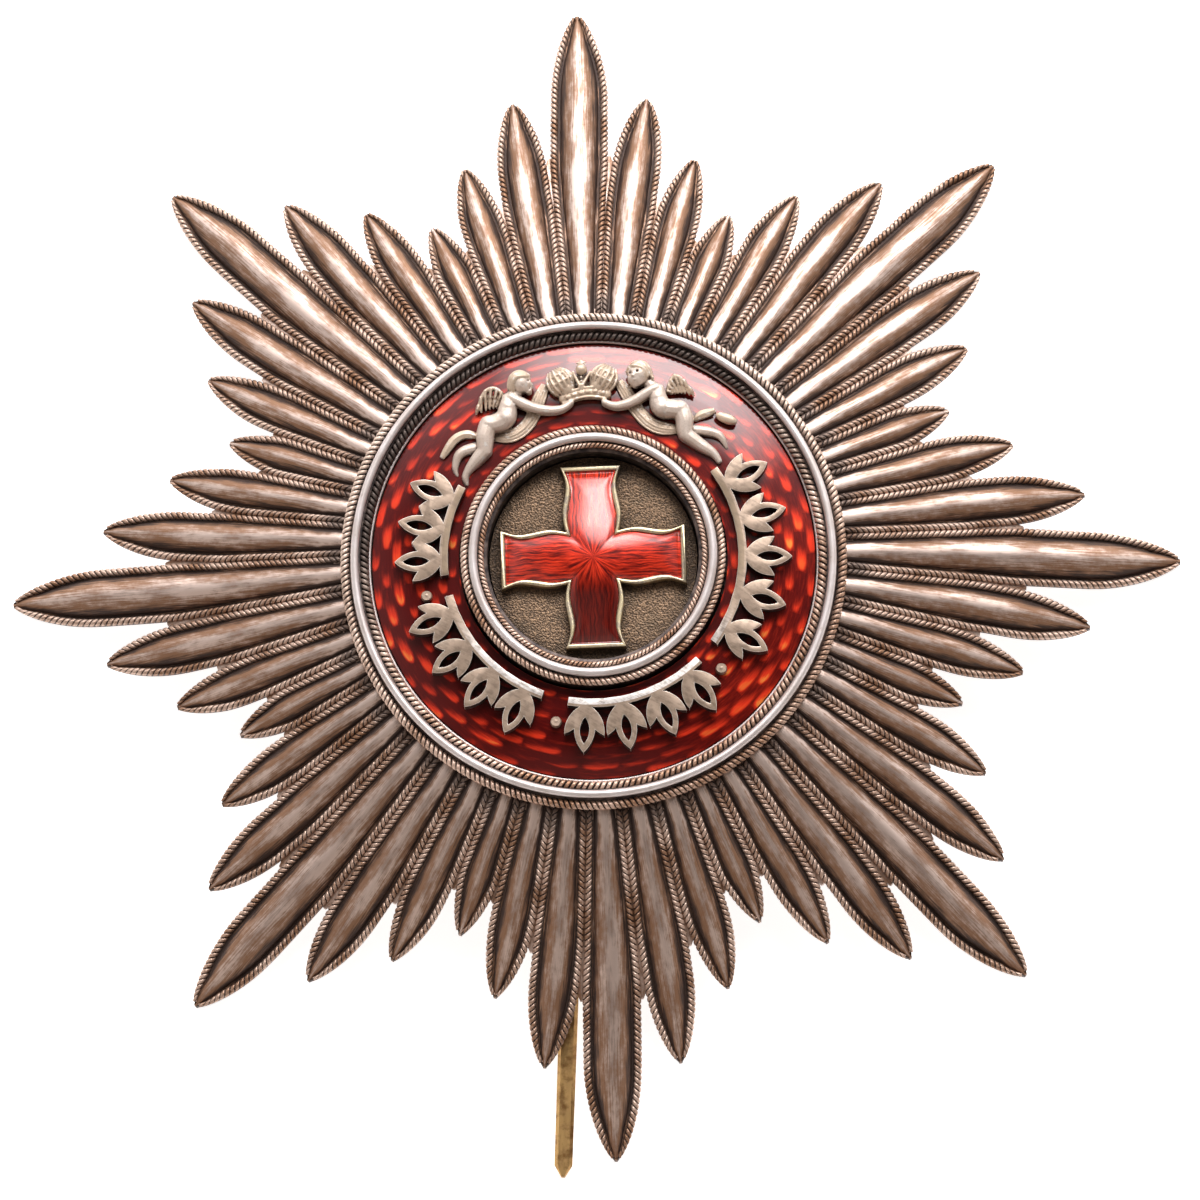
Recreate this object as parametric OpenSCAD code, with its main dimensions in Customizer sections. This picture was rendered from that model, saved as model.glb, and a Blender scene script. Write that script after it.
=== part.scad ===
// Breast star lying on the tips of its long rays, in millimetres.
// The origin is on the star's axis in the plane that it rests on, +Z is the front, +Y is the top.

/* [Rays] */
// Radius to the tips of the long rays
long_tip_r = 45; // [43:0.1:50]
// Radius of the valleys beside the long rays
long_valley_r = 33.3; // [31:0.1:35]
// Reach of the second rays beyond the long rays' valleys
second_reach = 4.9; // [4:0.1:6]
// How much nearer the middle the valleys beside the third rays lie than the long rays' valleys
third_valley_step = 3.2; // [2.5:0.1:4]
// Reach of the third rays beyond their outer valleys
third_reach = 3.6; // [3:0.1:4.5]
// How much nearer the middle the valleys beside the short rays lie than the third rays' valleys
short_valley_step = 2.9; // [2:0.1:3.5]
// Reach of the short rays beyond their valleys
short_reach = 2.8; // [2.2:0.1:3.4]
// How much wider a long ray's sector is than an even share, in degrees
sector_gain = 0.5; // [0:0.1:1]
// Greatest width of a long ray
long_ray_w = 4.48; // [4.2:0.02:4.6]
// Greatest width of a second ray
second_ray_w = 3.86; // [3.6:0.02:4]
// Greatest width of a third ray
third_ray_w = 3.44; // [3.2:0.02:3.6]
// Greatest width of a short ray
short_ray_w = 3.16; // [2.8:0.02:3.3]
// Length of a ray's pointed part as a share of its width
point_share = 1.65; // [1.4:0.05:1.9]
// How far the roots of the rays are turned against their tips, in degrees
root_turn = 0.4; // [0:0.05:0.8]
// Width of the blunt end of each tip
tip_w = 0.5; // [0.4:0.05:0.7]
// Width of the rope border at the ring
rope_in_w = 0.5; // [0.4:0.02:0.6]
// Width of the rope border at the long valleys
rope_out_w = 0.72; // [0.6:0.02:0.8]
// Width of the flat margin between rope and dome
margin_w = 0.25; // [0.15:0.01:0.35]
// Height of a dome as a share of its half width
dome_rise = 0.8; // [0.5:0.05:1]

/* [Star sheet] */
// Thickness of the star's sheet
plate_t = 0.9; // [0.7:0.05:1.1]
// Rise of the star from its tips to the ring
rise = 7.9; // [7:0.1:9]
// Power of the bell-shaped rise
bell = 1.3; // [1.1:0.05:1.5]
// Depth of the flat seat under the medallion
seat_drop = 0.7; // [0.5:0.05:1]
// How far the flat seat reaches beyond the outer ring's opening
seat_edge = 0.35; // [0.2:0.05:0.6]
// How far the rays run in under the outer ring
ray_tuck = 0.9; // [0.6:0.05:1.1]

/* [Outer ring] */
// Radius of the ring's opening
ring_in_r = 16.95; // [16:0.05:17.5]
// Width of the ring over its outer rope
ring_w = 2.25; // [2:0.05:2.6]
// Distance of the middle of the polished bead from the ring's opening
ring_bead_in = 1.2; // [1.05:0.05:1.35]
// Diameter of the polished bead
bead_d = 0.84; // [0.7:0.02:0.95]
// Height of the bead over the ring's foot
ring_h = 1.35; // [1.2:0.05:1.7]
// Height of the ring's foot over the sheet, clear of the ends of the domes
foot_lift = 0.35; // [0.33:0.01:0.6]
// Diameter of the ring's outer rope
ring_rope_d = 0.66; // [0.5:0.02:0.8]

/* [Enamel ring] */
// Height of the enamel's outer edge over the ring's foot
enamel_out_h = 0.1; // [0:0.02:0.3]
// Height of the enamel's inner edge over its outer edge
enamel_slope = 0.95; // [0.5:0.05:1.3]
// Bulge of the enamel's upper face
enamel_bulge = 0.25; // [0.1:0.05:0.4]

/* [Inner ring] */
// Radius of the inner ring's opening
inner_open_r = 7.98; // [7.8:0.02:8.4]
// Width of the inner ring over its outer rope
inner_w = 2.17; // [2:0.01:2.4]
// Distance of the middle of its polished bead from its opening
inner_bead_in = 1.16; // [1.05:0.01:1.25]
// Height of its bead over the medallion's seat
inner_h = 4.15; // [3.8:0.05:4.6]
// Diameter of its outer rope
inner_rope_d = 0.64; // [0.5:0.02:0.7]
// Diameter of its fine inner rope
fine_rope_d = 0.58; // [0.5:0.02:0.6]
// How far the middle of the outer rope lies below the middle of the bead
inner_rope_drop = 0.4; // [0.3:0.05:0.6]
// How far the middle of the fine rope lies below the middle of the bead
fine_rope_drop = 0.25; // [0.15:0.05:0.4]
// Height of the centre plate over the medallion's seat
field_h = 1.9; // [1.5:0.05:2.2]

/* [Cross] */
// Length of the cross from end to end
cross_l = 14.1; // [13:0.1:15]
// Width of an arm over its rim
arm_w = 4.2; // [3.6:0.1:4.6]
// Width of the gilt rim
rim_w = 0.34; // [0.25:0.01:0.45]
// Thickness of the cross
cross_t = 0.9; // [0.7:0.05:1.2]
// Depth of the enamel's tray
tray_depth = 0.45; // [0.3:0.05:0.55]
// Height of the enamel over the rim
enamel_proud = 0.08; // [0.02:0.02:0.15]

/* [Ornament bands] */
// Inner radius of the arc rails
rail_r = 11.05; // [10.7:0.05:11.3]
// Width of a rail
rail_w = 0.65; // [0.5:0.05:0.8]
// Length of a middle leaf
leaf_l = 3.7; // [3.3:0.1:3.9]
// Width of a middle leaf
leaf_w = 1.6; // [1.3:0.1:1.7]
// Length of a side leaf
side_leaf_l = 2.8; // [2.4:0.1:2.9]
// Width of a side leaf
side_leaf_w = 0.95; // [0.7:0.05:1]
// Turn of a side leaf from the middle leaf, in degrees
side_leaf_turn = 33; // [25:1:40]
// Height of the bands over the enamel's inner edge
band_h = 1.15; // [0.9:0.05:1.4]
// Fall of the bands' upper face from the enamel's inner edge to its outer edge
band_fall = 0.6; // [0.3:0.05:0.9]
// Radius of the circle that the pellets stand on
pellet_circle_r = 13; // [12.5:0.1:13.5]
// Diameter of a pellet
pellet_d = 0.95; // [0.8:0.05:1.1]

/* [Crown and cherubs] */
// Height of the figures' middle over the enamel's inner edge
figure_h = 0.95; // [0.8:0.05:1.2]
// Thickness of the figures as a share of the natural roundness
figure_fullness = 1; // [0.85:0.05:1.1]
// Gap between a cherub's foot and the band beside it
foot_clear = 0.15; // [0.1:0.05:0.4]

/* [Pin and fittings] */
// Distance of the hinge above the star's middle
hinge_y = 14; // [12:0.5:14.5]
// Length of the pin from its hinge to its point
pin_l = 60.2; // [58:0.1:63]
// Sideways lean of the pin from the star's axis, in degrees
pin_lean = 3.9; // [3.5:0.1:4.5]
// Width of the pin at its hinge
pin_w = 1.75; // [1.6:0.05:1.9]
// Width of the pin at its end
pin_end_w = 1.36; // [1.2:0.02:1.5]
// Thickness of the pin
pin_t = 0.9; // [0.7:0.05:0.95]
// Length of the pin's blunt point
point_l = 0.9; // [0.7:0.05:1.2]
// Width of the pin's very end
point_w = 0.3; // [0.2:0.05:0.5]
// Height of the pin's end over the surface that the star rests on
pin_float = 0.05; // [0.03:0.01:0.1]
// Height of the hinge's axis
hinge_z = 4.2; // [3.8:0.1:4.6]
// Radius of the hinge's axle
axle_r = 0.45; // [0.35:0.01:0.5]
// Radius of the pin's knuckle and of the ears
knuckle_r = 1.1; // [1:0.05:1.3]
// Width of the pin's knuckle
knuckle_w = 1.8; // [1.6:0.1:2.2]
// Thickness of each ear
ear_t = 0.7; // [0.5:0.05:0.9]
// Thickness of the feet of the hinge and the catch
foot_t = 0.6; // [0.5:0.05:0.8]
// Distance of the catch below the star's middle
catch_y = 15; // [14:0.5:15.5]
// Length of the catch along the pin
catch_l = 2.4; // [2:0.1:3]
// Thickness of the catch's strip
catch_t = 0.6; // [0.5:0.05:0.7]
// Inner width of the catch
catch_w = 2.5; // [2.2:0.1:3]
// Depth of the middle of the catch's lip below the pin
lip_drop = 0.5; // [0.3:0.05:0.7]

/* [Fits] */
// Gap between pieces that are set against each other
seat_gap = 0.05; // [0.04:0.01:0.08]
// Gap round the enamel and the centre plate
edge_gap = 0.08; // [0.05:0.01:0.1]
// Radial clearance of the axle in the pin's knuckle
axle_clear = 0.06; // [0.04:0.01:0.1]
// Clearance of the knuckle between the ears
ear_clear = 0.15; // [0.1:0.01:0.25]
// Clearance between the pin at rest and the catch
catch_clear = 0.35; // [0.3:0.05:0.6]

/* [Hidden] */
$fn = 64;

silver = "#8c7b70";
bright = "#b9b0ad";
red = "#a3150f";
bronze = "#6d5a48";
gilt = "#c9b27c";
brass = "#9a7440";

// Radii that follow from one another
second_tip_r = long_valley_r + second_reach;
third_valley_r = long_valley_r - third_valley_step;
third_tip_r = third_valley_r + third_reach;
short_valley_r = third_valley_r - short_valley_step;
short_tip_r = short_valley_r + short_reach;
ring_r = ring_in_r + ring_w;
ring_bead_r = ring_in_r + ring_bead_in;
inner_r = inner_open_r + inner_w;
inner_bead_r = inner_open_r + inner_bead_in;

// Heights of the medallion's layers
sheet_z = plate_t + rise;
seat_z = sheet_z - seat_drop;
seat_r = ring_in_r + seat_edge;
foot_z = sheet_z + foot_lift;
enamel_out_z = foot_z + enamel_out_h;
enamel_in_z = enamel_out_z + enamel_slope;
base_z = seat_z + seat_gap;
field_z = seat_z + field_h;
bead_z = seat_z + inner_h - bead_d / 2;

function mix(a, b, t) = a + (b - a) * t;
function ramp(a, b, x) = min(1, max(0, (x - a) / (b - a)));
function polar(r, a, z) = [r * cos(a), r * sin(a), z];

// Rays. Each eighth of the star holds six: long, second, third, short, third, second.
// Columns: tip radius, radius of its outermost valley, share of sector_gain, width, free stations
RAYS = [
    [long_tip_r, long_valley_r, 1, long_ray_w, [0.3, 0.52, 0.7, 0.84, 0.94, 1]],
    [second_tip_r, long_valley_r, 0.4, second_ray_w, [0.38, 0.7, 0.9, 1]],
    [third_tip_r, third_valley_r, -0.4, third_ray_w, [0.45, 0.82, 1]],
    [short_tip_r, short_valley_r, -1, short_ray_w, [0.45, 0.82, 1]]
];
ORDER = [0, 1, 2, 3, 2, 1];
RAY_COUNT = 48;
even_share = 360 / RAY_COUNT;
rays_start_r = ring_r - ray_tuck;
shared_r = [rays_start_r, ring_r + 0.2, mix(ring_r, short_valley_r, 0.5), short_valley_r,
            third_valley_r, long_valley_r];

function kind(i) = ORDER[i % 6];
function sector(k) = even_share + sector_gain * RAYS[k][2];
function steps(m) = m == 0 ? 0 : steps(m - 1) + sector(ORDER[m - 1]);
function bound(i) = 90 - sector(0) / 2 + 45 * floor((i % RAY_COUNT) / 6) + steps(i % 6);
function middle(i) = bound(i) + sector(kind(i)) / 2;
function valley(i) = min(RAYS[kind(i)][1], RAYS[kind(i + RAY_COUNT - 1)][1]);

// Height of the sheet's upper face at a radius
function sheet_top(r) = plate_t
    + rise * pow(max(0, (long_tip_r - max(r, shared_r[1])) / (long_tip_r - shared_r[1])), bell);

// Radii of a ray's sections, from the ring to its tip
function stations(k) = concat(
    [for (r = shared_r) if (r <= RAYS[k][1]) r],
    [for (t = RAYS[k][4]) mix(RAYS[k][1], RAYS[k][0], t)]);

function taper(t) = pow(1 - pow(1 - min(1, max(0, t)), 2), 0.75);
function half_w(k, r) = max(tip_w / 2, min(r * sin(sector(k) / 2),
    RAYS[k][3] / 2 * taper((RAYS[k][0] - r) / (point_share * RAYS[k][3]))));
function along(k, r) = r <= RAYS[k][1]
    ? r * cos(sector(k) / 2)
    : mix(RAYS[k][1] * cos(sector(k) / 2), RAYS[k][0],
        (r - RAYS[k][1]) / (RAYS[k][0] - RAYS[k][1]));

// One section of a ray's upper face, from its clockwise edge to the other.
// Columns of each half: distance from the middle, height
function half_section(w, r) =
    let (rope = min(0.45 * w, mix(rope_in_w, rope_out_w, ramp(ring_r, long_valley_r, r))),
         dome = w - rope - min(margin_w, 0.2 * w),
         full = r < shared_r[2] ? 0.6 : 1)
    [[w, 0], [w - rope / 2, 0.45 * rope * full], [w - rope, 0], [dome, 0],
     [0.62 * dome, 0.78 * dome_rise * dome * full], [0, dome_rise * dome * full]];

function lean(r) = root_turn * ramp(second_tip_r, short_tip_r, r);
function place(i, r, x, z) =
    let (s = along(kind(i), r), a = middle(i) + lean(r))
    [s * cos(a) - x * sin(a), s * sin(a) + x * cos(a), z];

// Edge points that two rays share have one formula, so that they are the same point
function edge(i, r, side, z) =
    let (n = side < 0 ? i : (i + 1) % RAY_COUNT)
    r <= valley(n) ? polar(r, bound(n) + lean(r), z)
                   : place(i, r, side * half_w(kind(i), r), z);

function section(i, r) =
    let (h = half_section(half_w(kind(i), r), r), z = sheet_top(r))
    concat([edge(i, r, -1, z)],
           [for (n = [1:5]) place(i, r, -h[n][0], z + h[n][1])],
           [for (n = [4:-1:1]) place(i, r, h[n][0], z + h[n][1])],
           [edge(i, r, 1, z)]);

function under(i, r) = [for (side = [-1, 1]) edge(i, r, side, sheet_top(r) - plate_t)];

// Triangles of one ray, each a list of three points that run clockwise seen from outside
function strip(a, b) = [for (n = [0:len(a) - 2]) each
    [[a[n], b[n], b[n + 1]], [a[n], b[n + 1], a[n + 1]]]];

function ray_faces(i) =
    let (k = kind(i), r = stations(k), last = len(r) - 1,
         top = [for (q = r) section(i, q)], low = [for (q = r) under(i, q)],
         first = [edge(i, r[0], -1, sheet_z), edge(i, r[0], 1, sheet_z)],
         lip = [for (n = [i, (i + 1) % RAY_COUNT]) polar(seat_r, bound(n) + root_turn, seat_z)],
         sole = [for (p = lip) [p[0], p[1], p[2] - plate_t]])
    concat(
        [for (j = [1:last - 1]) each strip(top[j + 1], top[j])],
        [for (n = [0:4]) [first[0], top[1][n + 1], top[1][n]]],
        [for (n = [5:9]) [first[1], top[1][n + 1], top[1][n]]],
        [[first[0], first[1], top[1][5]]],
        [for (j = [0:last - 1]) each strip(low[j], low[j + 1])],
        [for (j = [1:last - 1]) if (r[j] >= valley(i)) each
            strip([low[j][0], low[j + 1][0]], [top[j][0], top[j + 1][0]])],
        [for (j = [1:last - 1]) if (r[j] >= valley((i + 1) % RAY_COUNT)) each
            strip([top[j][10], top[j + 1][10]], [low[j][1], low[j + 1][1]])],
        [for (n = [0:9]) [low[last][n < 5 ? 0 : 1], top[last][n], top[last][n + 1]]],
        [[low[last][0], top[last][5], low[last][1]]],
        strip(first, lip), strip(sole, low[0]),
        [[[0, 0, seat_z], lip[1], lip[0]], [[0, 0, seat_z - plate_t], sole[0], sole[1]]]);

module star_body() {
    color(silver) {
        faces = [for (i = [0:RAY_COUNT - 1]) each ray_faces(i)];
        polyhedron(points = [for (f = faces) each f],
                   faces = [for (n = [0:len(faces) - 1]) [3 * n, 3 * n + 1, 3 * n + 2]]);
    }
}

// Outer ring: a foot with a sloping inner side, a bead and two ropes
module outer_ring() {
    rope_r = ring_rope_d / 2;
    bead_r = bead_d / 2;
    top_z = foot_z + ring_h - bead_r;
    slope_r = (ring_bead_r - bead_r + ring_in_r) / 2;
    color(bright) rotate_extrude() {
        polygon([[ring_in_r, foot_z], [ring_r - rope_r, foot_z],
                 [ring_r - rope_r, foot_z + rope_r], [ring_bead_r + bead_r, top_z - bead_r],
                 [ring_bead_r + bead_r, top_z], [ring_bead_r - bead_r, top_z],
                 [ring_in_r, foot_z + 2 * enamel_out_h]]);
        translate([ring_r - rope_r, foot_z + rope_r]) circle(rope_r);
        translate([ring_bead_r, top_z]) circle(bead_r);
        translate([slope_r, (foot_z + top_z) / 2]) circle(rope_r);
    }
}

// Outline of the enamel's upper face, from its outer edge to its inner edge
enamel_out_r = ring_in_r - edge_gap;
enamel_in_r = inner_r + edge_gap;
function enamel_top(t, up) = [mix(enamel_out_r, enamel_in_r, t),
    up + mix(enamel_out_z, enamel_in_z, t) + enamel_bulge * sin(180 * t)];

module enamel_section(up, deep) {
    polygon(concat([[enamel_in_r, deep], [enamel_out_r, deep]],
                   [for (n = [0:8]) enamel_top(n / 8, up)]));
}

module enamel_ring() {
    color(red) rotate_extrude() enamel_section(0, base_z);
}

// What stands on the enamel is cut to its upper face
module cut_to_enamel() {
    difference() {
        children();
        rotate_extrude() enamel_section(seat_gap, base_z);
    }
}

// Inner ring: a tall collar with a rope, a bead and a fine rope on its rim
module inner_ring() {
    bead_r = bead_d / 2;
    rope_r = inner_rope_d / 2;
    fine_r = fine_rope_d / 2;
    rope_mid = inner_r - rope_r;
    fine_mid = inner_open_r + fine_r;
    color(bright) rotate_extrude() {
        polygon([[inner_open_r, base_z], [rope_mid, base_z], [rope_mid, bead_z - inner_rope_drop],
                 [inner_bead_r + bead_r, bead_z - seat_gap],
                 [inner_bead_r - bead_r, bead_z - seat_gap],
                 [fine_mid, bead_z - fine_rope_drop],
                 [inner_open_r, bead_z - fine_rope_drop]]);
        translate([rope_mid, bead_z - inner_rope_drop]) circle(rope_r);
        translate([inner_bead_r, bead_z]) circle(bead_r);
        translate([fine_mid, bead_z - fine_rope_drop]) circle(fine_r);
    }
}

module centre_field() {
    color(bronze) translate([0, 0, base_z])
        cylinder(r = inner_open_r - edge_gap, h = field_z - base_z);
}

// Side of a cross arm. Columns: share of the way out from the inner corner, share of half the width
ARM = [[0, 0.95], [0.14, 1.03], [0.3, 1.06], [0.46, 1.0], [0.62, 0.93], [0.76, 0.92],
       [0.88, 0.99], [1, 1.1]];
function arm_point(row, side, inset) =
    let (corner = ARM[0][1] * arm_w / 2 - inset)
    [mix(corner, cross_l / 2 - inset, row[0]), side * (row[1] * arm_w / 2 - inset)];

module cross_outline(inset) {
    points = [for (q = [0:3]) each
        let (low = [for (n = [0:len(ARM) - 1]) arm_point(ARM[n], -1, inset)],
             high = [for (n = [len(ARM) - 1:-1:1]) arm_point(ARM[n], 1, inset)])
        [for (p = concat(low, high)) [p[0] * cos(90 * q) - p[1] * sin(90 * q),
                                      p[0] * sin(90 * q) + p[1] * cos(90 * q)]]];
    polygon(points);
}

cross_z = field_z + seat_gap;

module cross_frame() {
    color(gilt) translate([0, 0, cross_z]) difference() {
        linear_extrude(cross_t) cross_outline(0);
        translate([0, 0, cross_t - tray_depth]) linear_extrude(cross_t) cross_outline(rim_w);
    }
}

module cross_enamel() {
    floor_z = cross_z + cross_t - tray_depth + seat_gap;
    color(red) translate([0, 0, floor_z])
        linear_extrude(tray_depth - seat_gap + enamel_proud) cross_outline(rim_w + seat_gap);
}

// Ornament bands. A leaf is where two discs cross.
module leaf(l, w) {
    disc_r = (l * l + w * w) / (4 * w);
    intersection() {
        translate([0, disc_r - w / 2]) circle(disc_r);
        translate([0, w / 2 - disc_r]) circle(disc_r);
    }
}

module palmette() {
    root = rail_r + 0.6 * rail_w;
    difference() {
        translate([root + leaf_l / 2, 0]) leaf(leaf_l, leaf_w);
        translate([root + 0.55 * leaf_l, 0]) leaf(0.55 * leaf_l, 0.45 * leaf_w);
    }
    for (side = [-1, 1])
        translate([root, 0]) rotate(side * side_leaf_turn) translate([side_leaf_l / 2, 0])
            leaf(side_leaf_l, side_leaf_w);
}

module wedge(a, b) {
    polygon([[0, 0], for (n = [0:3])
        [ring_r * cos(mix(a, b, n / 3)), ring_r * sin(mix(a, b, n / 3))]]);
}

// One band from angle a to angle b with a number of palmettes
module band(a, b, count) {
    pitch = (b - a) / count;
    lift = 2 * seat_gap;
    color(bronze) intersection() {
        rotate_extrude()
            polygon([enamel_top(0, lift), enamel_top(0.5, lift), enamel_top(1, lift),
                     [enamel_in_r, enamel_in_z + band_h],
                     [enamel_out_r, enamel_in_z + band_h - band_fall]]);
        translate([0, 0, base_z]) linear_extrude(2 * (enamel_in_z + band_h - base_z)) union() {
            intersection() {
                rotate(a) difference() {
                    circle(rail_r + rail_w);
                    circle(rail_r);
                }
                wedge(a, b);
            }
            for (n = [0:count - 1]) rotate(a + (n + 0.5) * pitch) palmette();
        }
    }
}

// Angle beside the end of a limb, a gap away from it
function beside(row, side) =
    let (p = spot(row))
    atan2(p[1], p[0])
        + side * asin((row[3] * enamel_w + foot_clear) / norm([p[0], p[1]]));

module ornament_right() {
    band(-38, beside(RIGHT_LEG[4], -1), 5);
}

module ornament_lower_right() {
    band(258.5, 313, 4);
}

module ornament_lower_left() {
    band(193.5, 248.5, 4);
}

module ornament_left() {
    band(beside(LEFT_LEG[4], 1), 185.4, 3);
}

module pellet(a) {
    low_z = enamel_out_z + 0.3 * enamel_slope;
    r = pellet_d / 2;
    color(bronze) cut_to_enamel() rotate([0, 0, a]) translate([pellet_circle_r, 0, 0]) {
        translate([0, 0, low_z]) cylinder(r = 0.8 * r, h = enamel_in_z + 0.35 * r - low_z);
        translate([0, 0, enamel_in_z + 0.35 * r]) sphere(r);
    }
}

module pellet_right() {
    pellet(316.5);
}

module pellet_lower() {
    pellet(255.5);
}

module pellet_left() {
    pellet(191);
}

// Crown and cherubs. Their rows hold x, y, height and radius as shares of the enamel's width,
// from the middle of that width above the cross.
enamel_w = ring_in_r - inner_r;
figure_z = enamel_in_z + figure_h;
FACETS = 10;
function spot(row) = [0, (inner_r + ring_in_r) / 2, figure_z]
    + enamel_w * [row[0], row[1], row[2]];

// A round form with an upright side below it, down into the enamel, where it is cut
module ball(p, r) {
    translate(p) scale([1, 1, figure_fullness]) sphere(r, $fn = FACETS);
    translate([p[0], p[1], foot_z]) cylinder(r = 0.9 * r, h = p[2] - foot_z, $fn = FACETS);
}

// A rounded limb along rows
module limb(rows) {
    for (n = [0:len(rows) - 2]) hull() for (m = [n, n + 1])
        ball(spot(rows[m]), rows[m][3] * enamel_w);
}

// A ribbon along rows, which hold its half width in place of a radius
module ribbon(rows) {
    for (n = [0:len(rows) - 2]) hull() for (m = [n, n + 1]) {
        p = spot(rows[m]);
        translate([p[0], p[1], foot_z])
            cylinder(r = rows[m][3] * enamel_w, h = p[2] - foot_z + 0.044 * enamel_w, $fn = 8);
    }
}

LEFT_TORSO = [[-0.822, -0.205, 0.037, 0.091], [-0.876, -0.332, 0.044, 0.115],
              [-0.927, -0.42, 0.037, 0.109], [-1.058, -0.448, 0.022, 0.106]];
LEFT_ARM = [[-0.823, -0.161, 0.074, 0.062], [-0.602, -0.265, 0.066, 0.053],
            [-0.411, -0.331, 0.059, 0.049], [-0.28, -0.302, 0.051, 0.041],
            [-0.244, -0.236, 0.044, 0.037]];
LEFT_LEG = [[-1.103, -0.463, 0.037, 0.106], [-1.154, -0.706, 0.044, 0.088],
            [-1.301, -0.846, 0.015, 0.068], [-1.39, -0.994, 0, 0.053], [-1.39, -1.097, 0, 0.041]];
LEFT_FAR_LEG = [[-1.177, -0.61, -0.015, 0.074], [-1.301, -0.714, -0.022, 0.062],
                [-1.47, -0.794, -0.037, 0.053], [-1.5, -0.903, -0.044, 0.038]];
LEFT_DRAPE = [[-0.491, -0.021, -0.044, 0.062], [-0.604, -0.155, -0.044, 0.059],
              [-0.619, -0.346, -0.044, 0.059], [-0.749, -0.529, -0.044, 0.062],
              [-0.941, -0.603, -0.044, 0.062], [-1.06, -0.581, -0.044, 0.059]];
LEFT_TAIL = [[-1.234, -0.558, -0.044, 0.053], [-1.397, -0.5, -0.044, 0.05],
             [-1.514, -0.551, -0.044, 0.047], [-1.604, -0.67, -0.051, 0.041],
             [-1.655, -0.759, -0.059, 0.022]];
RIGHT_TORSO = [[0.772, -0.139, 0.037, 0.091], [0.846, -0.251, 0.044, 0.115],
               [0.905, -0.346, 0.037, 0.109], [1.029, -0.345, 0.022, 0.106]];
RIGHT_ARM = [[0.748, -0.103, 0.074, 0.062], [0.588, -0.214, 0.066, 0.053],
             [0.397, -0.301, 0.059, 0.049], [0.176, -0.257, 0.051, 0.04]];
RIGHT_LEG = [[1.059, -0.375, 0.037, 0.106], [1.088, -0.58, 0.044, 0.088],
             [1.279, -0.757, 0.015, 0.068], [1.412, -0.861, 0, 0.053], [1.418, -0.955, 0, 0.041]];
RIGHT_FAR_LEG = [[1.161, -0.507, -0.015, 0.074], [1.33, -0.61, -0.022, 0.059],
                 [1.464, -0.618, -0.037, 0.05], [1.53, -0.758, -0.044, 0.035]];
RIGHT_DRAPE = [[0.354, -0.023, -0.044, 0.062], [0.428, -0.155, -0.044, 0.059],
               [0.553, -0.332, -0.044, 0.059], [0.751, -0.493, -0.044, 0.062],
               [0.972, -0.53, -0.044, 0.062]];
RIGHT_TAIL = [[1.177, -0.464, -0.044, 0.053], [1.353, -0.397, -0.044, 0.05],
              [1.5, -0.434, -0.044, 0.059], [1.648, -0.509, -0.051, 0.038]];

LEFT_NECK = [[-0.743, -0.066, 0.044, 0.074], [-0.809, -0.184, 0.044, 0.081]];
RIGHT_NECK = [[0.633, -0.008, 0.044, 0.074], [0.765, -0.118, 0.044, 0.081]];
LEFT_WING = [[-0.926, -0.198, -0.015, 0.044], [-1.037, -0.066, 0, 0.05],
             [-1.126, -0.103, -0.007, 0.049], [-1.234, -0.257, -0.044, 0.024]];
LEFT_QUILLS = [[-0.954, -0.228, -0.029, 0.037], [-1.074, -0.17, -0.022, 0.053],
               [-1.185, -0.236, -0.044, 0.029]];
RIGHT_WING = [[0.866, -0.11, -0.015, 0.044], [0.941, 0.008, 0, 0.05], [1.028, 0.015, -0.007, 0.047],
              [1.19, -0.132, -0.044, 0.024]];
RIGHT_QUILLS = [[0.898, -0.126, -0.029, 0.037], [0.999, -0.066, -0.022, 0.053],
                [1.14, -0.117, -0.044, 0.029]];

LEFT_HEAD = [-0.729, 0, 0.074];
RIGHT_HEAD = [0.588, 0.058, 0.074];

module head(row) {
    p = spot(row);
    hull() {
        ball(p + [0, 0.015 * enamel_w, 0], 0.135 * enamel_w);
        ball(p - [0, 0.037 * enamel_w, 0.007 * enamel_w], 0.115 * enamel_w);
    }
}

// Crown: a curved band, two bulging halves with ribs and an orb on the middle arch.
// Places are from the middle of its foot, and as shares of enamel_w, as the radii are.
CROWN_FOOT = [-0.044, -0.184, 0];
function in_crown(x, y, z) = spot(CROWN_FOOT) + enamel_w * [x, y, z];
module crown_ball(x, y, z, r) {
    ball(in_crown(x, y, z), r * enamel_w);
}

module crown() {
    for (n = [-2:1]) hull() for (m = [n, n + 1]) {
        crown_ball(0.106 * m, 0.047 - 0.004 * m * m, 0.059, 0.062);
        crown_ball(0.115 * m, 0.14, 0.022, 0.062);
    }
    for (side = [-1, 1]) {
        hull() {
            crown_ball(side * 0.14, 0.132, 0.037, 0.081);
            crown_ball(side * 0.221, 0.253, 0.044, 0.106);
            crown_ball(side * 0.125, 0.287, 0.029, 0.074);
        }
        hull() {
            crown_ball(side * 0.228, 0.118, 0.029, 0.066);
            crown_ball(side * 0.309, 0.235, 0.029, 0.082);
        }
        hull() {
            crown_ball(side * 0.032, 0.103, 0.066, 0.032);
            crown_ball(side * 0.081, 0.294, 0.074, 0.029);
        }
    }
    hull() {
        crown_ball(0, 0.103, 0.029, 0.059);
        crown_ball(0, 0.279, 0.029, 0.053);
    }
    crown_ball(-0.004, 0.324, 0.088, 0.059);
}

module cherub_left() {
    limb(LEFT_TORSO);
    limb(LEFT_ARM);
    limb(LEFT_LEG);
    limb(LEFT_FAR_LEG);
    ribbon(LEFT_DRAPE);
    ribbon(LEFT_TAIL);
    limb(LEFT_NECK);
    limb(LEFT_WING);
    limb(LEFT_QUILLS);
    head(LEFT_HEAD);
}

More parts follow.
